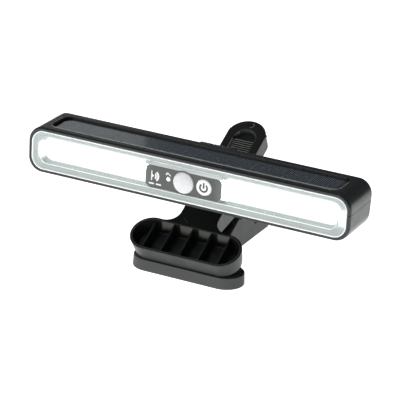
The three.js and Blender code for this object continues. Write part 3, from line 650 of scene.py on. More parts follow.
def housing_blank():
    """The whole housing: a thick-walled box with a front opening and soft front edges."""
    lip_x, lip_z, lip_depth, back_edge = 1.5, 0.9, 2.8, 1.7
    wall, front_wall, face_set_back, lens_gap = 2, 4.2, 0.25, 0.3
    cavity_height, cavity_corner, cavity_z, steps = 25.4, 8, 14.7, 16
    turns = quarter(6)

    def ring(inset_x, inset_z, front=None, back=None):
        corner = BAR_CORNER + SKIN - (inset_x + inset_z) / 2
        length, height = BAR_LENGTH + 2 * SKIN, BAR_HEIGHT + SKIN + SKIN_LOW
        middle = (BAR_HEIGHT + SKIN - SKIN_LOW) / 2
        outline = rounded(length - 2 * inset_x, height - 2 * inset_z, corner, 0, middle, steps)
        return [Vector((x, front if back is None else bar_back(z) - back, z)) for x, z in outline]

    rings = []
    for t in turns:
        inset = back_edge * (1 - math.sin(t))
        rings.append(ring(inset, inset, back=back_edge * (1 - math.cos(t))))
    for t in reversed(turns):
        share = 1 - math.sin(t)
        rings.append(ring(lip_x * share, lip_z * share, front=lip_depth * (1 - math.cos(t))))
    length, height = LENS_LENGTH + 2 * lens_gap, LENS_HEIGHT + 2 * lens_gap
    opening = rounded(length, height, LENS_CORNER + lens_gap, 0, FACE_Z, steps)
    rings += [[stand(p, "Y", y) for p in opening] for y in (face_set_back, front_wall)]
    cavity = rounded(BAR_LENGTH - 2 * wall, cavity_height, cavity_corner, 0, cavity_z, steps)
    rings.append([stand(p, "Y", front_wall) for p in cavity])
    rings.append([Vector((x, bar_back(z) - wall, z)) for x, z in cavity])
    return loft(rings)


def recess_outline(grow):
    length, width = RECESS_LENGTH + 2 * grow, RECESS_BACK - RECESS_FRONT + 2 * grow
    return rounded(length, width, RECESS_CORNER + grow, 0, RECESS_Y)


def recess_cutter():
    edge = 0.4
    top = BAR_HEIGHT + SKIN
    lip = [(edge * (math.cos(t) - 1), top - edge + edge * math.sin(t)) for t in quarter(4)]
    foot = [(edge, RECESS_FLOOR), (0, RECESS_FLOOR + edge)]
    return swept(recess_outline(0), [*foot, *lip, (-edge, top + 2)], "Z")


def shell_half(shape, z, keep_upper):
    half = shape.copy()
    bmesh.ops.bisect_plane(
        half, geom=half.verts[:] + half.edges[:] + half.faces[:], dist=1e-5,
        plane_co=(0, 0, z), plane_no=(0, 0, 1), clear_inner=keep_upper, clear_outer=not keep_upper,
    )
    rim = [e for e in half.edges if e.is_boundary]
    bmesh.ops.edgeloop_fill(half, edges=rim)
    bmesh.ops.recalc_face_normals(half, faces=half.faces)
    return half


def make_housing():
    whole = without(housing_blank(), [recess_cutter()])
    half_gap = 0.16
    upper = shell_half(whole, PARTING_Z + half_gap, True)
    lower = shell_half(whole, PARTING_Z - half_gap, False)
    whole.free()
    bar_piece("upper_shell_skin", upper, housing, ["upper_shell"])
    seat_radius, seat_y, seat_depth = 2.6, 25, 3
    seats = [block(circle(seat_radius, x, seat_y), "Z", -1, seat_depth) for x in (-113, -18, 18, 113)]
    bar_piece("lower_shell_skin", without(lower, seats), housing, ["lower_shell"])


make_housing()


def make_recess_bead():
    """A low pale bead round the recess, steep outside and open at the back; its pale colour is a painted
    highlight along the recess's lip.
    """
    outer, inner = recess_outline(0.95), recess_outline(0.5)
    sunk, crest = -0.2, 0.55
    levels = [
        (outer, 0, sunk), (outer, 0.03, 0.4), (outer, 0.15, crest),
        (inner, -0.05, crest), (inner, 0, 0.45), (inner, 0, sunk),
    ]
    top = BAR_HEIGHT + SKIN
    ring = ringed([(outline, inset, top + rise) for outline, inset, rise in levels], "Z")
    open_side = block(rounded(BAR_LENGTH, 12, 0.5, 0, RECESS_BACK - 1.5), "Z", BAR_HEIGHT - 2, BAR_HEIGHT + 4)
    # painted highlight: the bead's pale grey stands in for light caught by the recess's rounded lip
    look = moulded("recess_lip_highlight", (0.36, 0.4, 0.385), (0.44, 0.48, 0.46), 0.3, 0.05)
    bar_piece("recess_bead", without(ring, [open_side]), look)


make_recess_bead()


# ---- solar panel

CELL_PITCH, CELL_COUNT = 21.7, 10
PANEL_TOP = RECESS_FLOOR + 2.2


def make_panel():
    thick, edge = 1.2, 0.25
    base = block(recess_outline(-0.4), "Z", PANEL_TOP - thick, PANEL_TOP, 0, edge)
    bar_piece("solar_backing", base, backing_look(), ["solar_panel"])
    gap, margin, corner, rise, sunk = 0.3, 2.6, 4, 0.06, 0.02
    depth = RECESS_BACK - RECESS_FRONT - 2 * margin
    printed = rounded(CELL_PITCH * CELL_COUNT, depth, corner, 0, RECESS_Y)
    cells = block(printed, "Z", PANEL_TOP - sunk, PANEL_TOP + rise, 0, rise / 2)
    lines = []
    for i in range(1, CELL_COUNT):
        x = (i - CELL_COUNT / 2) * CELL_PITCH
        lines.append(rounded(gap, depth - 0.2, gap / 2 - 0.02, x, RECESS_Y, 3))
    grooves = [block(line, "Z", PANEL_TOP - sunk / 2, PANEL_TOP + 1) for line in lines]
    bar_piece("solar_cells", without(cells, grooves), cell_look())
    strips = [block(line, "Z", PANEL_TOP - sunk, PANEL_TOP + rise / 2) for line in lines]
    bar_piece("cell_strips", joined(strips), metal("cell_strip", (0.3, 0.33, 0.36), 0.3))


make_panel()


# ---- lens, reflector and diodes

def plate_outline(grow):
    length, height = PLATE_LENGTH + 2 * grow, PLATE_HEIGHT + 2 * grow
    body = rounded(length, height, PLATE_CORNER + grow, PLATE_X, PLATE_Z)
    return body, circle(PLATE_BULGE + grow, DOME_X, FACE_Z, 64)


def lens_outline(inset):
    length, height = LENS_LENGTH - 2 * inset, LENS_HEIGHT - 2 * inset
    return rounded(length, height, LENS_CORNER - inset, 0, FACE_Z, 14)


def ledge_outline(grow):
    length, height = LEDGE_LENGTH + 2 * grow, LEDGE_HEIGHT + 2 * grow
    return rounded(length, height, LEDGE_CORNER + grow, 0, FACE_Z, 14)


def lower_half(ring):
    return without(ring, [block(oblong(-130, FACE_Z - 1, 130, 40), "Y", -3, 6)])


def lens_painted_shade():
    """A nearly opaque grey strip of lens above the control plate: painted shade, standing in for the dim
    reflector wall behind it.
    """
    top, low = FACE_Z + LEDGE_HEIGHT / 2 + 0.6, PLATE_Z + PLATE_HEIGHT / 2 + 0.1
    strip = rounded(PLATE_LENGTH + 1.2, top - low, 0.8, PLATE_X, (top + low) / 2, 4)
    bulge = circle(PLATE_BULGE + 0.2, DOME_X, FACE_Z, 64)
    return without(block(strip, "Y", 0.35, 2.1, 0.1), [block(bulge, "Y", -1, 4)])


def make_lens():
    holes = [block(outline, "Y", -1, 6) for outline in plate_outline(0.25)]
    window = without(block(ledge_outline(-0.3), "Y", 0.2, 2.2, 0.2, 0), holes)
    bar_piece("front_lens_window", window, lens_look("lens_clear", 0.06, 0.06), ["front_lens"])
    others = {
        # frosted lens border; its grey tint and lower clearness are partly painted shade of the reflector's
        # walls behind it
        "border": (
            framed(lens_outline(0.75), ledge_outline(0.5), "Y", 0.3, 2.2),
            lens_look("lens_border_painted_shade", 0.38, 0.2, (0.76, 0.82, 0.81)),
        ),
        # painted shade: a grey, nearly opaque strip above the control plate
        "shade_strip": (lens_painted_shade(), lens_look("lens_painted_shade", 0.94, 0.2, (0.48, 0.52, 0.515))),
        "rim": (
            framed(lens_outline(0.1), lens_outline(0.7), "Y", 0.2, 2.3, 0.2),
            lens_look("lens_rim_glow", 1.0, 0.15, (0.95, 0.98, 0.97), glow=0.3),
        ),
        # painted glow: the lower ledge of the lens glows faintly, standing in for the diodes' light in it
        "ledge": (
            lower_half(framed(ledge_outline(0.1), ledge_outline(-0.22), "Y", 0.12, 0.9, 0.1)),
            lens_look("lens_ledge_glow", 0.85, 0.15, glow=0.15),
        ),
        # painted shade: a grey ring stands in for the shade in a groove round the ledge
        "groove": (
            lower_half(framed(ledge_outline(0.48), ledge_outline(0.14), "Y", 0.42, 1.2, 0.05)),
            lens_look("lens_groove_painted_shade", 0.7, 0.35, (0.4, 0.46, 0.44)),
        ),
    }
    for name, (shape, look) in others.items():
        bar_piece(f"front_lens_{name}", shape, look)


make_lens()


# ---- control plate, dome, button and marks

PLATE_FRONT = 0.4


def make_plate():
    face = union([block(outline, "Y", PLATE_FRONT, 1.4, 0.3, 0) for outline in plate_outline(0)])
    holes = [
        block(circle(DOME_RADIUS + 0.25, DOME_X, FACE_Z, 64), "Y", -1, 6),
        block(circle(BUTTON_RADIUS + 0.25, BUTTON_X, FACE_Z), "Y", -1, 6),
        block(circle(INDICATOR_RADIUS + 0.15, INDICATOR_X, INDICATOR_Z), "Y", -1, 6),
    ]
    bar_piece("control_face", without(face, holes), control_look(), ["control_plate"])
    # painted glow: a white patch beside the control plate glows strongly though it is no lamp
    cover = block(rounded(7, 4.4, 1, 30, 10.8), "Y", 2.6, 3.0, 0.15)
    cover_glow_look = white_look("slot_cover_white", (0.95, 0.97, 0.96), 0.4, glow=1.2)
    bar_piece("slot_end_cover", cover, cover_glow_look)


def make_dome():
    flange, seat, back = 0.8, 4.0, 5.0
    profile = [(DOME_RADIUS * math.sin(t), -DOME_RISE * math.cos(t)) for t in quarter(20)]
    profile += [
        (DOME_RADIUS, seat), (DOME_RADIUS + flange, seat), (DOME_RADIUS + flange, back),
        (DOME_RADIUS - 1, back), (DOME_RADIUS - 1, 0.6), (4, -1.0), (0, -1.3),
    ]
    dome = lathe(profile, (DOME_X, FACE_Z), "Y", 96)
    bar_piece("sensor_dome", dome, dome_look(), ["pir_lens"])


def make_button():
    edge, front, seat, back, stem = 0.55, BUTTON_FRONT, 4.0, 4.9, 5.9
    profile = [(0, front + 0.12), (3, front + 0.09), (BUTTON_RADIUS - edge - 0.4, front + 0.02)]
    profile += [
        (BUTTON_RADIUS - edge + edge * math.sin(t), front + edge * (1 - math.cos(t))) for t in quarter(5)
    ]
    profile += [
        (BUTTON_RADIUS, seat), (BUTTON_RADIUS + 0.6, seat), (BUTTON_RADIUS + 0.6, back),
        (2, back), (2, stem), (0, stem),
    ]
    cap = lathe(profile, (BUTTON_X, FACE_Z), "Y", 64)
    # the button's white is its own colour; its faint glow is painted light
    look = white_look("button_white", (0.88, 0.88, 0.87), 0.35, glow=0.08)
    bar_piece("button_cap", cap, look, ["power_button"], body="power_button")


def make_indicator():
    back = 10.3
    profile = [
        (0, PLATE_FRONT - 0.3), (0.9, PLATE_FRONT - 0.25), (1.45, PLATE_FRONT - 0.1),
        (INDICATOR_RADIUS, PLATE_FRONT + 0.2), (INDICATOR_RADIUS, back), (0, back),
    ]
    lamp = lathe(profile, (INDICATOR_X, INDICATOR_Z), "Y", 32)
    look = white_look("indicator_glow", (0.93, 0.93, 0.9), 0.25, glow=0.4)
    bar_piece("indicator_lamp", lamp, look, ["indicator_light_pipe"])


def stroke(x0, y0, x1, y1, width):
    """A straight stroke with round ends."""
    angle = math.atan2(y1 - y0, x1 - x0)
    half = math.pi / 2
    return (arc(x1, y1, width / 2, angle - half, angle + half, 6)
            + arc(x0, y0, width / 2, angle + half, angle + 3 * half, 6))


def marks(name, outlines, front, look, body="light_bar"):
    shapes = [block(outline, "Y", front - 0.05, front + 0.15) for outline in outlines]
    bar_piece(name, joined(shapes), look, body=body)


def make_marks():
    sector = math.radians(50)
    bar_x, arcs_x, middle = -25.5, -24.4, FACE_Z + 0.2
    sensor = [arc_band(arcs_x, middle, r, width, -sector, sector) for r, width in ((2.3, 1.2), (4.1, 1.5))]
    sensor.append(stroke(bar_x, middle - 3.2, bar_x, middle + 3.4, 0.85))
    sensor.append([(bar_x + 0.3, middle - 1.4), (bar_x + 2.1, middle), (bar_x + 0.3, middle + 1.4)])
    marks("sensor_mark", sensor, PLATE_FRONT, printed_white_glowing)
    caret_x, caret_z = -13, FACE_Z + 4.6
    caret = [
        stroke(caret_x - 1.1, caret_z - 1.2, caret_x - 0.1, caret_z, 1.1),
        stroke(caret_x, caret_z, caret_x + 2.1, caret_z - 1.7, 0.8),
    ]
    marks("mode_mark", caret, PLATE_FRONT, printed_white_glowing)
    half, bars_z = 1.55, FACE_Z - 5.6
    bars = [stroke(x - half, bars_z, x + half, bars_z, 1.15) for x in (-25.5, -19.9)]
    marks("label_bars", bars, PLATE_FRONT, printed_white_glowing)
    gap_angle = math.radians(38)
    start, end = math.pi / 2 + gap_angle, 2.5 * math.pi - gap_angle
    ring = arc_band(BUTTON_X, FACE_Z - 0.2, 2.8, 1.25, start, end, 40)
    bar = stroke(BUTTON_X, FACE_Z - 0.1, BUTTON_X, FACE_Z + 3.1, 1.2)
    marks("power_mark", [ring, bar], BUTTON_FRONT + 0.08, printed_grey, "power_button")


make_plate()
make_dome()
make_button()
make_indicator()
make_marks()


# ---- clamp: jaws

# A jaw is its rim and its base, each (half length, half width, y of its middle), and its depth.
UPPER_RIM = 43, 14.74, 0
UPPER_JAW = UPPER_RIM, (41.4, 13.2, -0.5), -13.3
LOWER_JAW = (43, 14.2, 15), (42.6, 13.8, 15), 8.5
JAW_WALL, JAW_FLOOR, JAW_DRAFT = 1.8, 2, 0.6
RIB_PITCH, RIB_COUNT, RIB_THICK = 14.7, 5, 1.4


def slot_width(x, half, radius):
    """Half the depth of a slot with round ends, at a place along it."""
    past = max(0.0, abs(x) - (half - radius))
    return math.sqrt(max(0.0, radius ** 2 - past ** 2))


def slot_ring(half, radius, y, z):
    return [stand(p, "Z", z) for p in rounded(2 * half, 2 * radius, radius, 0, y, 20)]


def trough(rim, base, depth, base_edge):
    """A tapered jaw, open at z = 0, with a rounded rim; depth is signed."""
    up = 1 if depth > 0 else -1
    rim_highlight_and_crease, floor_edge = 0.45, 0.8

    def ring(size, inset, z):
        half, radius, y = size
        return slot_ring(half - inset, radius - inset, y, z)

    bends = [(1 - math.sin(t), 1 - math.cos(t)) for t in quarter(4)]
    rings = [ring(base, base_edge * a, depth - up * base_edge * b) for a, b in bends]
    rings += [ring(rim, rim_highlight_and_crease * b, up * rim_highlight_and_crease * a) for a, b in bends]
    rings += [ring(rim, JAW_WALL - rim_highlight_and_crease * a, up * rim_highlight_and_crease * b) for a, b in bends]
    floor_z, foot = depth - up * JAW_FLOOR, JAW_WALL + JAW_DRAFT
    rings += [ring(base, foot + floor_edge * b, floor_z - up * floor_edge * a) for a, b in bends]
    return loft(rings)


def jaw_ribs(rim, base, depth):
    """Ribs across a trough, sunk a little into its walls and floor."""
    up = 1 if depth > 0 else -1
    lowered, sunk = 1.2, 0.5
    top, low = up * lowered, depth - up * JAW_FLOOR + up * sunk
    ribs = []
    for i in range(RIB_COUNT):
        x = (i - (RIB_COUNT - 1) / 2) * RIB_PITCH
        top_width = slot_width(x, rim[0] - JAW_WALL, rim[1] - JAW_WALL) + sunk
        low_width = slot_width(x, base[0] - JAW_WALL - JAW_DRAFT, base[1] - JAW_WALL - JAW_DRAFT) + sunk
        outline = [
            (rim[2] - top_width, top), (rim[2] + top_width, top),
            (base[2] + low_width, low), (base[2] - low_width, low),
        ]
        ribs.append(block(outline, "X", x - RIB_THICK / 2, x + RIB_THICK / 2, 0.3))
    return ribs


# ---- clamp: upper lever

def in_lever(y, z):
    moved = Matrix.Rotation(-LEVER_TILT, 3, "X") @ (Vector((0, y, z)) - LEVER_ORIGIN)
    return moved.y, moved.z


PIVOT_IN_LEVER = in_lever(PIVOT_Y, PIVOT_Z)
TILT_IN_LEVER = in_lever(TILT_Y, TILT_Z + BAR_Z / MM)


def strip_outline(half, start_y, jaw_back, end_y, end_radius, neck=NECK):
    """The lever seen from above: curved neck, straight sides and a round handle end."""
    flare = math.asin(min(1, half / end_radius))
    right_neck = arc(half + neck, jaw_back + neck, neck, -math.pi / 2, -math.pi, 14)
    end = arc(0, end_y, end_radius, math.pi / 2 - flare, math.pi / 2 + flare, 40)
    left_neck = [(-x, y) for x, y in reversed(right_neck)]
    return [(-half - neck, start_y), (half + neck, start_y), *right_neck, *end, *left_neck]


SUNK_Z = -0.6


def skirt_outline():
    front_y, front_z, deep_y, deep_z, bend_y = 13, -9.2, 47, -20.2, 80
    grip_y, grip_z, end_y, corner = 92, -12.4, 110.6, 4
    return [
        (end_y, SUNK_Z), (front_y, SUNK_Z), (front_y, front_z), (deep_y, deep_z), (bend_y, deep_z),
        (grip_y, grip_z), *arc(end_y - corner, grip_z + corner, corner, -math.pi / 2, 0, 8),
    ]


def ear_outline(radius, lean):
    y, z = PIVOT_IN_LEVER
    return [(y + radius + lean, SUNK_Z), (y - radius, SUNK_Z), *arc(y, z, radius, math.pi, 2 * math.pi, 28)]


def hinge_outline():
    y, z = TILT_IN_LEVER
    return [(y - TILT_RADIUS, -1), (y + TILT_RADIUS, -1), *arc(y, z, TILT_RADIUS, 0, math.pi, 28)]


THUMB_WIDTH, THUMB_LENGTH, THUMB_Y, THUMB_BEND_Y, THUMB_DEPTH = 17.4, 34, 94.8, 103.1, 2.2
THUMB_RADIUS = THUMB_WIDTH / 2
HANGING_HOLE = (0, 116)


def thumb_cutters():
    """The thumb recess, square towards the jaw, and the deeper pocket at its back."""
    edge, foot, front_y, pocket_y, pocket_depth = 0.35, 0.3, 86.5, 103, 4.4
    lip = [(edge * (math.cos(t) - 1), -edge + edge * math.sin(t)) for t in quarter(4)]
    profile = [(foot, -THUMB_DEPTH), (0, -THUMB_DEPTH + foot), *lip, (-edge, 2)]
    bend = arc(0, THUMB_BEND_Y, THUMB_RADIUS, 0, math.pi, 30)
    return [
        swept(rounded(THUMB_WIDTH, THUMB_LENGTH, THUMB_RADIUS, 0, THUMB_Y), profile, "Z"),
        swept(rounded(THUMB_WIDTH, THUMB_WIDTH, 1, 0, front_y), profile, "Z"),
        block([(THUMB_RADIUS, pocket_y), *bend, (-THUMB_RADIUS, pocket_y)], "Z", -pocket_depth, 0),
    ]


def make_upper_lever():
    thick, inner, knuckle_side = 2.5, LEVER_HALF - 2.5, 5.6
    head_radius, head_depth, hole_radius = 3.9, 2.9, 1.8
    ear, handle_core = ear_outline(9.6, 6), rounded(23, 42, 3, 0, 95)
    plan = strip_outline(LEVER_HALF, 13.3, UPPER_RIM[1], LEVER_END_Y, LEVER_END_RADIUS)
    body = union([
        trough(*UPPER_JAW, 0.7),
        block(plan, "Z", -thick, 0, 0.3, 0.5),
        *mirrored(lambda: block(skirt_outline(), "X", inner, LEVER_HALF, 0.4, 0.4)),
        *mirrored(lambda: block(ear, "X", inner, LEVER_HALF, 0.4, 0.4)),
        block(handle_core, "Z", -6, -1, 0.4, 0),
        *mirrored(lambda: block(hinge_outline(), "X", knuckle_side, LEVER_HALF, 0.6, 0.9)),
    ])
    whole_plan = strip_outline(LEVER_HALF, 0, UPPER_RIM[1], LEVER_END_Y, LEVER_END_RADIUS)
    past_end = without(block(oblong(-40, 100, 40, 140), "Z", -60, -2.4), [block(whole_plan, "Z", -70, 5)])
    body = without(body, [
        *thumb_cutters(),
        block(circle(hole_radius, *HANGING_HOLE), "Z", -20, 5),
        block(circle(PIVOT_BORE, *PIVOT_IN_LEVER), "X", -20, 20),
        block(circle(TILT_BORE, *TILT_IN_LEVER), "X", -20, 20),
        block(circle(head_radius, *TILT_IN_LEVER), "X", LEVER_HALF - head_depth, 20),
        block(circle(head_radius, *TILT_IN_LEVER), "X", -20, -LEVER_HALF + head_depth),
        past_end,
    ])
    lever_piece("upper_lever_body", body, clamp, replaces=["upper_lever"])
    lever_piece("upper_jaw_ribs", joined(jaw_ribs(*UPPER_JAW)), clamp)


def make_thumb_ridges():
    """Low ridges across the recess, with painted highlights on their crests and painted highlight lines on
    the recess's left wall.
    """
    count, first_y, pitch, left, right = 11, 81.5, 1.95, -7.2, 8.0
    ridges, crests = [], []
    for i in range(count):
        y = first_y + pitch * i
        section = [(y - 0.4, -2.4), (y + 0.4, -2.4), (y + 0.28, -1.05), (y - 0.28, -1.05)]
        ridges.append(block(section, "X", left, right, 0.2))
        top = [(y - 0.28, -1.1), (y + 0.28, -1.1), (y + 0.2, -0.88), (y - 0.2, -0.88)]
        crests.append(block(top, "X", left + 0.2, right - 0.2, 0.1))
    lever_piece("thumb_ridges", joined(ridges), clamp)
    # painted highlights: pale plastic on the ridge crests and as lines and a corner patch on the recess's
    # left wall
    light = moulded("ridge_crest_highlight", (0.36, 0.38, 0.36), (0.46, 0.48, 0.46), 0.34)
    lever_piece("thumb_ridge_crests", joined(crests), light)
    start_y, end_y, upper_x, lower_x = 79, 101, -8.6, -8.4
    corner = arc_band(0, THUMB_BEND_Y, 8.45, 0.5, math.radians(138), math.radians(168), 10)
    lines = [
        block(stroke(upper_x, start_y, upper_x, end_y, 0.45), "Z", -0.8, -0.25),
        block(stroke(lower_x, start_y, lower_x, end_y, 0.55), "Z", -2.3, -1.75),
        block(corner, "Z", -3.4, -0.9),
    ]
    lever_piece("thumb_recess_glint", joined(lines), light)


def make_handle_edges():
    """Painted highlights on the edges of the hanging hole and the thumb recess, and a dark tube down the hole
    that stands in for the shade inside it.
    """
    # painted highlight along the lit right side of the hanging hole's edge
    lip = arc_band(*HANGING_HOLE, 2.2, 0.75, math.radians(-95), math.radians(62), 24)
    lever_piece("hanging_hole_collar", block(lip, "Z", -0.6, 0.24, 0, 0.12), edge_highlight)
    # painted shade: a dark tube nearly fills the hanging hole so it reads as shaded instead of showing the
    # floor
    profile = [(0.75, -0.7), (1.78, -0.5), (2.7, -0.5), (2.7, -6.5), (1.78, -6.5), (0.75, -6.3)]
    lever_piece("hanging_hole_shade_tube", lathe(profile, HANGING_HOLE, "Z", 40, loop=True), clamp)
    outer = rounded(THUMB_WIDTH + 0.2, THUMB_LENGTH + 0.2, THUMB_RADIUS + 0.05, 0, THUMB_Y)
    inner = rounded(THUMB_WIDTH - 0.5, THUMB_LENGTH - 0.5, THUMB_RADIUS - 0.3, 0, THUMB_Y)
    bend = arc_band(0, THUMB_BEND_Y, 8.55, 0.35, math.radians(10), math.radians(170), 30)
    edges = [block(bend, "Z", -3.9, -1.2), framed(outer, inner, "Z", -0.9, -0.4, 0.1)]
    lever_piece("thumb_recess_edge", joined(edges), edge_highlight)


make_upper_lever()
make_thumb_ridges()
make_handle_edges()


def painted_sheen_look():
    """Painted sheen on the trough's back wall: a lighter colour and a faint glow, fading out below its
    middle.
    """
    look = Look(
        "painted_trough_sheen", (0.004, 0.004, 0.004), 0.35,
        Emission_Strength=0.0, Emission_Color=(1.0, 0.98, 0.88, 1),
    )
    upward = (LEVER.to_3x3() @ Vector((0, 0, 1))).normalized()
    dot = look.node("ShaderNodeVectorMath", operation="DOT_PRODUCT")
    look.links.new(look.place, dot.inputs[0])
    dot.inputs[1].default_value = upward
    rim = LEVER.translation.dot(upward)
    wavy = look.maths("MULTIPLY", look.noise(240, detail=2, stretch=(1, 1, 0.4)), 3.4 * MM)
    height = look.maths("ADD", dot.outputs["Value"], wavy)
    share = look.ranged(height, rim - 6.2 * MM, rim - 2.6 * MM, 0.0, 1.0)
    # painted sheen: lighter colour and a faint glow high on the back wall, fading downwards
    look.tinted(share, (0.1, 0.1, 0.088))
    look.links.new(look.maths("MULTIPLY", share, 0.03), look.shader.inputs["Emission Strength"])
    look.bumped(look.noise(900, stretch=(1, 1, 0.3)), 0.4, 0.0001)
    return look.material


def make_trough_details():
    wall_slope, first_drop, last_drop, proud = 0.285, 0.7, 9.0, 0.06
    # patches of painted sheen on the back wall between the ribs
    painted_sheen_patches = []
    for i in range(RIB_COUNT - 1):
        x = (i - (RIB_COUNT - 2) / 2) * RIB_PITCH + 1.7
        wall_y = UPPER_RIM[1] - JAW_WALL - proud
        face = [(wall_y - wall_slope * (drop - 0.45), -drop) for drop in (first_drop, last_drop)]
        outline = face + [(y + 0.5, z) for y, z in reversed(face)]
        painted_sheen_patches.append(block(outline, "X", x - 4.6, x + 4.9))
    lever_piece("painted_trough_sheen", joined(painted_sheen_patches), painted_sheen_look())
    # painted highlight: a pale line along the rim's inner edge; the same pale plastic draws the crease line
    # below
    pale_line_look = moulded("rim_highlight_and_crease", (0.05, 0.055, 0.055), (0.075, 0.08, 0.08), 0.35)
    half, radius = UPPER_RIM[0] - JAW_WALL, UPPER_RIM[1] - JAW_WALL
    levels = ((0.5, -0.5), (0.5, 0.05), (-0.02, -0.02), (-0.02, -0.5))
    rings = [slot_ring(half + grow, radius + grow, 0, height) for grow, height in levels]
    lever_piece("rim_edge_line", loft(rings, loop=True), pale_line_look)
    # a thin pale line on the lever's top, lighter than the plastic round it
    crease = [(-10.6, 20.0), (-10.1, 19.9), (-6.0, 16.6), (-5.5, 15.5), (-6.3, 16.1)]
    lever_piece("pale_crease_line", block(crease, "Z", -0.02, 0.1), pale_line_look)


make_trough_details()


# ---- clamp: lower lever

LOWER_HALF, LOWER_END_Y, LOWER_END_RADIUS = 11.4, 123.7, 11.6


def lower_wall_outline():
    foot_y, rim_z, knee_y, knee_z, end_y, ear = 28.4, 9, 102, 11, 126.3, 8
    climb = math.tan(LEVER_TILT)
    over = (PIVOT_Z - (PIVOT_Y - foot_y) * climb) * math.cos(LEVER_TILT)
    back = math.pi / 2 - 1
    front = 1.5 * math.pi + LEVER_TILT - math.acos(over / ear)
    boss = arc(PIVOT_Y, PIVOT_Z, ear, back, front, 30)
    return [(foot_y, 0), (end_y, 0), (end_y, rim_z), (knee_y, knee_z), *boss]


def make_lower_lever():
    wall = LOWER_HALF - 2.5
    plan = strip_outline(LOWER_HALF, 27.6, 29.2, LOWER_END_Y, LOWER_END_RADIUS)
    inside = block(inset_by(plan, 2.5), "Z", 2, 12)
    before_end = block(oblong(-40, 20, 40, LOWER_END_Y), "Z", -5, 20)
    body = union([
        trough(*LOWER_JAW, 0.35),
        block(plan, "Z", 0, 2.5, 1.1, 0.3),
        *mirrored(lambda: block(lower_wall_outline(), "X", wall, LOWER_HALF, 0.3, 0.9)),
        without(block(plan, "Z", 0.5, 9, 0.4, 0.5), [inside, before_end]),
    ])
    body = without(body, [block(circle(PIVOT_BORE, PIVOT_Y, PIVOT_Z), "X", -30, 30)])
    base_piece("lower_lever_body", body, lower_clamp_painted_reflection, replaces=["lower_lever"])
    base_piece("lower_jaw_ribs", joined(jaw_ribs(*LOWER_JAW)), lower_clamp_painted_reflection)


make_lower_lever()


# ---- jaw pads

def jaw_pad(y0, y1, side, z):
    """A pad with round ends and ridges along it; side is 1 where the ridges point up, or -1."""
    half, base, ridge, pitch = 38, 1.2, 1.3, 3.2
    middle, corner = (y0 + y1) / 2, (y1 - y0) / 2 - 0.1
    top = z + side * base
    low, high = min(z, top), max(z, top)
    shapes = [block(rounded(2 * half, y1 - y0, corner, 0, middle), "Z", low, high, 0.25)]
    foot, crest = z + side * base * 0.8, top + side * ridge
    shoulder = crest - side * 0.15
    count = int((y1 - y0 - 2) / pitch) + 1
    for i in range(count):
        y = middle + (i - (count - 1) / 2) * pitch
        reach = half - corner + math.sqrt(max(0, corner ** 2 - (abs(y - middle) + 0.8) ** 2))
        section = [
            (y - 0.9, foot), (y + 0.9, foot), (y + 0.42, shoulder),
            (y + 0.25, crest), (y - 0.25, crest), (y - 0.42, shoulder),
        ]
        shapes.append(block(section, "X", -reach, reach, 0.25))
    return joined(shapes)


lever_piece("upper_pad", jaw_pad(-6.5, 11.5, -1, -13.6), rubber, ["upper_jaw_pad"])
base_piece("lower_pad", jaw_pad(12.5, 27.5, 1, 8.8), rubber, ["lower_jaw_pad"])


# ---- tilt hinge and clamp hardware

def make_bracket():
    """The bracket on the bar's back: a base plate, an arm and the knuckle between the lever's ears."""
    half, thick, low, high, knuckle, gap = 14.4, 2.4, 5, 29, 4.2, 0.3
    screw_x, screw_z, screw_hole = 9.5, 9.5, 1.6
    base = [
        (bar_back(low) + gap, low), (bar_back(low) + gap + thick, low),
        (bar_back(high) + gap + thick, high), (bar_back(high) + gap, high),
    ]
    arm = [
        (bar_back(9) + gap + 0.5, 9), (TILT_Y, TILT_Z - TILT_RADIUS), (TILT_Y, TILT_Z + TILT_RADIUS),
        (bar_back(26) + gap + 0.5, 26),
    ]
    body = union([
        block(base, "X", -half, half, 0.5),
        block(arm, "X", -knuckle, knuckle, 0.5),
        block(circle(TILT_RADIUS, TILT_Y, TILT_Z, 64), "X", -knuckle, knuckle, 0.7),
    ])
    clearance = circle(TILT_RADIUS + 0.6, TILT_Y, TILT_Z)
    body = without(body, [
        block(circle(TILT_BORE, TILT_Y, TILT_Z), "X", -30, 30),
        block(clearance, "X", knuckle + 0.02, 20),
        block(clearance, "X", -20, -knuckle - 0.02),
        *[block(circle(screw_hole, side * screw_x, screw_z), "Y", 30, 50) for side in (-1, 1)],
    ])
    bar_piece("tilt_bracket", body, clamp, ["hinge_bracket"])


make_bracket()


def make_spring():
    """Torsion spring: the coil and lower leg stay with the lower lever, the upper leg with the upper one."""
    coil, wire, turns, pitch = 5, 0.9, 4, 2.6
    upper_slope, upper_length = math.radians(67), 29
    lower_slope, lower_length = math.radians(-38), 40
    half = turns * pitch / 2
    start = upper_slope + math.pi / 2
    sweep = lower_slope - math.pi / 2 - start + (turns + 1) * 2 * math.pi

    def on_coil(share):
        angle = start + sweep * share
        y, z = PIVOT_Y + coil * math.cos(angle), PIVOT_Z + coil * math.sin(angle)
        return Vector((half * (1 - 2 * share), y, z))

    def leg(share, slope, length):
        along = Vector((0, math.cos(slope), math.sin(slope)))
        return [on_coil(share) + along * (length * part) for part in (0.04, 0.25, 0.5, 0.75, 1)]

    steps, split, overlap = 150, 24, 12
    coil_points = [on_coil(i / steps) for i in range(steps + 1)]
    upper = list(reversed(leg(0, upper_slope, upper_length))) + coil_points[:split]
    lower = coil_points[split - overlap:] + leg(1, lower_slope, lower_length)
    base_piece("spring_coil", tube(lower, wire), spring_steel, ["torsion_spring"])
    piece("spring_upper_leg", tube(upper, wire * 0.98), LAMP, spring_steel, "upper_lever")


make_spring()


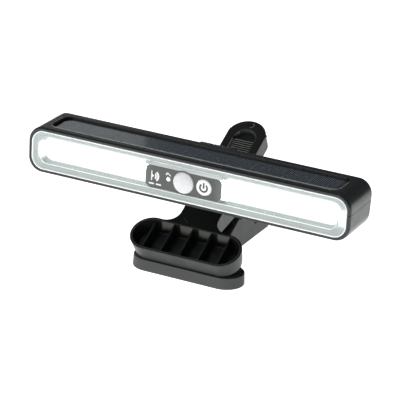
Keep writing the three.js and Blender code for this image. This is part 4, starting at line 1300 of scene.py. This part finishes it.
def make_pin():
    """The clamp's pivot: a headed pin with a groove at its far end, and the clip that snaps into it."""
    end, radius, head, groove = LEVER_HALF, 2.5, 4.6, 0.6
    face = end + 1.8
    profile = [
        (0, -end - 2), (radius - 0.4, -end - 2), (radius, -end - 1.6), (radius - groove, -end - 1.5),
        (radius - groove, -end - 0.4), (radius, -end - 0.4), (radius, end + 0.4), (head - 0.3, end + 0.3),
        (head, end + 0.6), (head, face - 0.5), (head - 0.7, face - 0.1), (head - 1.6, face), (0, face),
    ]
    pin = lathe(profile, (PIVOT_Y, PIVOT_Z), "X")
    base_piece("pivot_pin_turned", pin, steel, ["pivot_pin"])
    mouth = oblong(PIVOT_Y - 1.3, PIVOT_Z - 8, PIVOT_Y + 1.3, PIVOT_Z)
    clip = without(
        block(circle(4.4, PIVOT_Y, PIVOT_Z), "X", -end - 1.2, -end - 0.7, 0.12),
        [block(circle(2.2, PIVOT_Y, PIVOT_Z), "X", -30, 0), block(mouth, "X", -30, 0)],
    )
    base_piece("pivot_clip", clip, steel, ["pivot_retaining_clip"])


make_pin()


def make_bolt():
    """The tilt hinge's bolt, with a hexagon socket, and its nut."""
    y, z = TILT_IN_LEVER
    start, end, radius, head, head_thick = -LEVER_HALF + 0.6, LEVER_HALF - 0.2, 2, 3.6, 2.5
    profile = [
        (0, start), (radius - 0.3, start), (radius, start + 0.3), (radius, end - head_thick),
        (head, end - head_thick), (head, end - 0.4), (head - 0.4, end), (1.9, end), (0, end),
    ]
    socket = block(circle(1.6, y, z, 6), "X", end - 1.6, end + 1)
    bolt = without(lathe(profile, (y, z), "X"), [socket])
    lever_piece("tilt_bolt_turned", bolt, steel, ["tilt_bolt"])
    blank = block(circle(head, y, z, 6), "X", -LEVER_HALF + 0.3, -LEVER_HALF + 2.6, 0.25)
    nut = without(blank, [block(circle(2.2, y, z), "X", -20, 0)])
    lever_piece("tilt_nut_hex", nut, steel, ["tilt_nut"])


make_bolt()


# ---- finishes of the carried-over CAD nodes

def finish_nodes():
    """Inner pieces that are carried over as they are; screws and the sensor's can are steel."""
    black = plain_moulding("inner_black", (0.02, 0.02, 0.02))
    red = plain_moulding("wire_red", (0.4, 0.03, 0.02))
    finishes = {
        "reflector_tray": reflector_look(),
        "led_board": diode_look(),
        "panel_bonding_pad": rubber,
        "battery_cell": wrap_look(),
        "charging_board": circuit_look(),
    }
    dark = ("tact_switch", "battery_holder", "board_rail_front", "board_rail_rear")
    finishes.update({name: black for name in (*dark, "solar_lead_black", "battery_lead_black")})
    finishes.update({name: red for name in ("solar_lead_red", "battery_lead_red")})
    finishes.update({f"friction_washer_{i}": nylon for i in (1, 2)})
    for name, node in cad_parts.items():
        node.data.materials.clear()
        node.data.materials.append(finishes.get(name, steel))


finish_nodes()


# ---- floor, world and lights

def make_floor():
    mesh = bpy.data.meshes.new("floor")
    corners = [(x, y, 0) for x, y in oblong(-6, -6, 6, 6)]
    mesh.from_pydata(corners, [], [(0, 1, 2, 3)])
    look = Look(
        "lit_table", (0.7, 0.7, 0.7), 0.85,
        Specular_IOR_Level=0.1, Emission_Strength=1.25, Emission_Color=(1, 1, 1, 1),
    )
    look.stained(3, 0.3, 0.7, 0.3, (0.68, 0.68, 0.685))
    mesh.materials.append(look.material)
    floor = bpy.data.objects.new("floor", mesh)
    bpy.context.scene.collection.objects.link(floor)


def make_world():
    """A dark studio; the lit table is the main light."""
    world = bpy.data.worlds.new("studio")
    world.use_nodes = True
    nodes, links = world.node_tree.nodes, world.node_tree.links
    direction = nodes.new("ShaderNodeTexCoord").outputs["Generated"]
    split = nodes.new("ShaderNodeSeparateXYZ")
    links.new(direction, split.inputs[0])
    ramp = nodes.new("ShaderNodeValToRGB")
    stops = [(0.0, 0.13), (0.2, 0.1), (0.5, 0.09), (0.8, 0.11), (1.0, 0.16)]
    ramp.color_ramp.elements[0].position = stops[0][0]
    ramp.color_ramp.elements[1].position = stops[-1][0]
    for position, _ in stops[1:-1]:
        ramp.color_ramp.elements.new(position)
    for element, (_, value) in zip(ramp.color_ramp.elements, stops):
        element.color = (value, value, value, 1)
    links.new(split.outputs["Z"], ramp.inputs["Fac"])
    background = nodes["Background"]
    background.inputs["Strength"].default_value = 1.0
    links.new(ramp.outputs["Color"], background.inputs["Color"])
    bpy.context.scene.world = world


def area_light(name, place, aim, width, height, power):
    data = bpy.data.lights.new(name, "AREA")
    data.shape = "RECTANGLE"
    data.size, data.size_y, data.energy = width, height, power
    made = bpy.data.objects.new(name, data)
    made.location = place
    made.rotation_euler = (Vector(aim) - Vector(place)).to_track_quat("-Z", "Y").to_euler()
    made.visible_camera = False
    bpy.context.scene.collection.objects.link(made)
    return made


make_floor()
make_world()
area_light("front_light", (-0.7, -1.5, 0.5), (0, 0, 0.05), 1.4, 0.9, 6)
area_light("top_light", (-0.3, -0.9, 1.5), (0, 0, 0.05), 0.9, 0.7, 7)
card = area_light("panel_card", (-0.99, 1.5, 0.72), (-0.1, -0.04, 0.09), 0.3, 0.5, 0.165)
card.data.color = (1.0, 0.98, 0.93)

bpy.context.scene.view_settings.view_transform = "Standard"
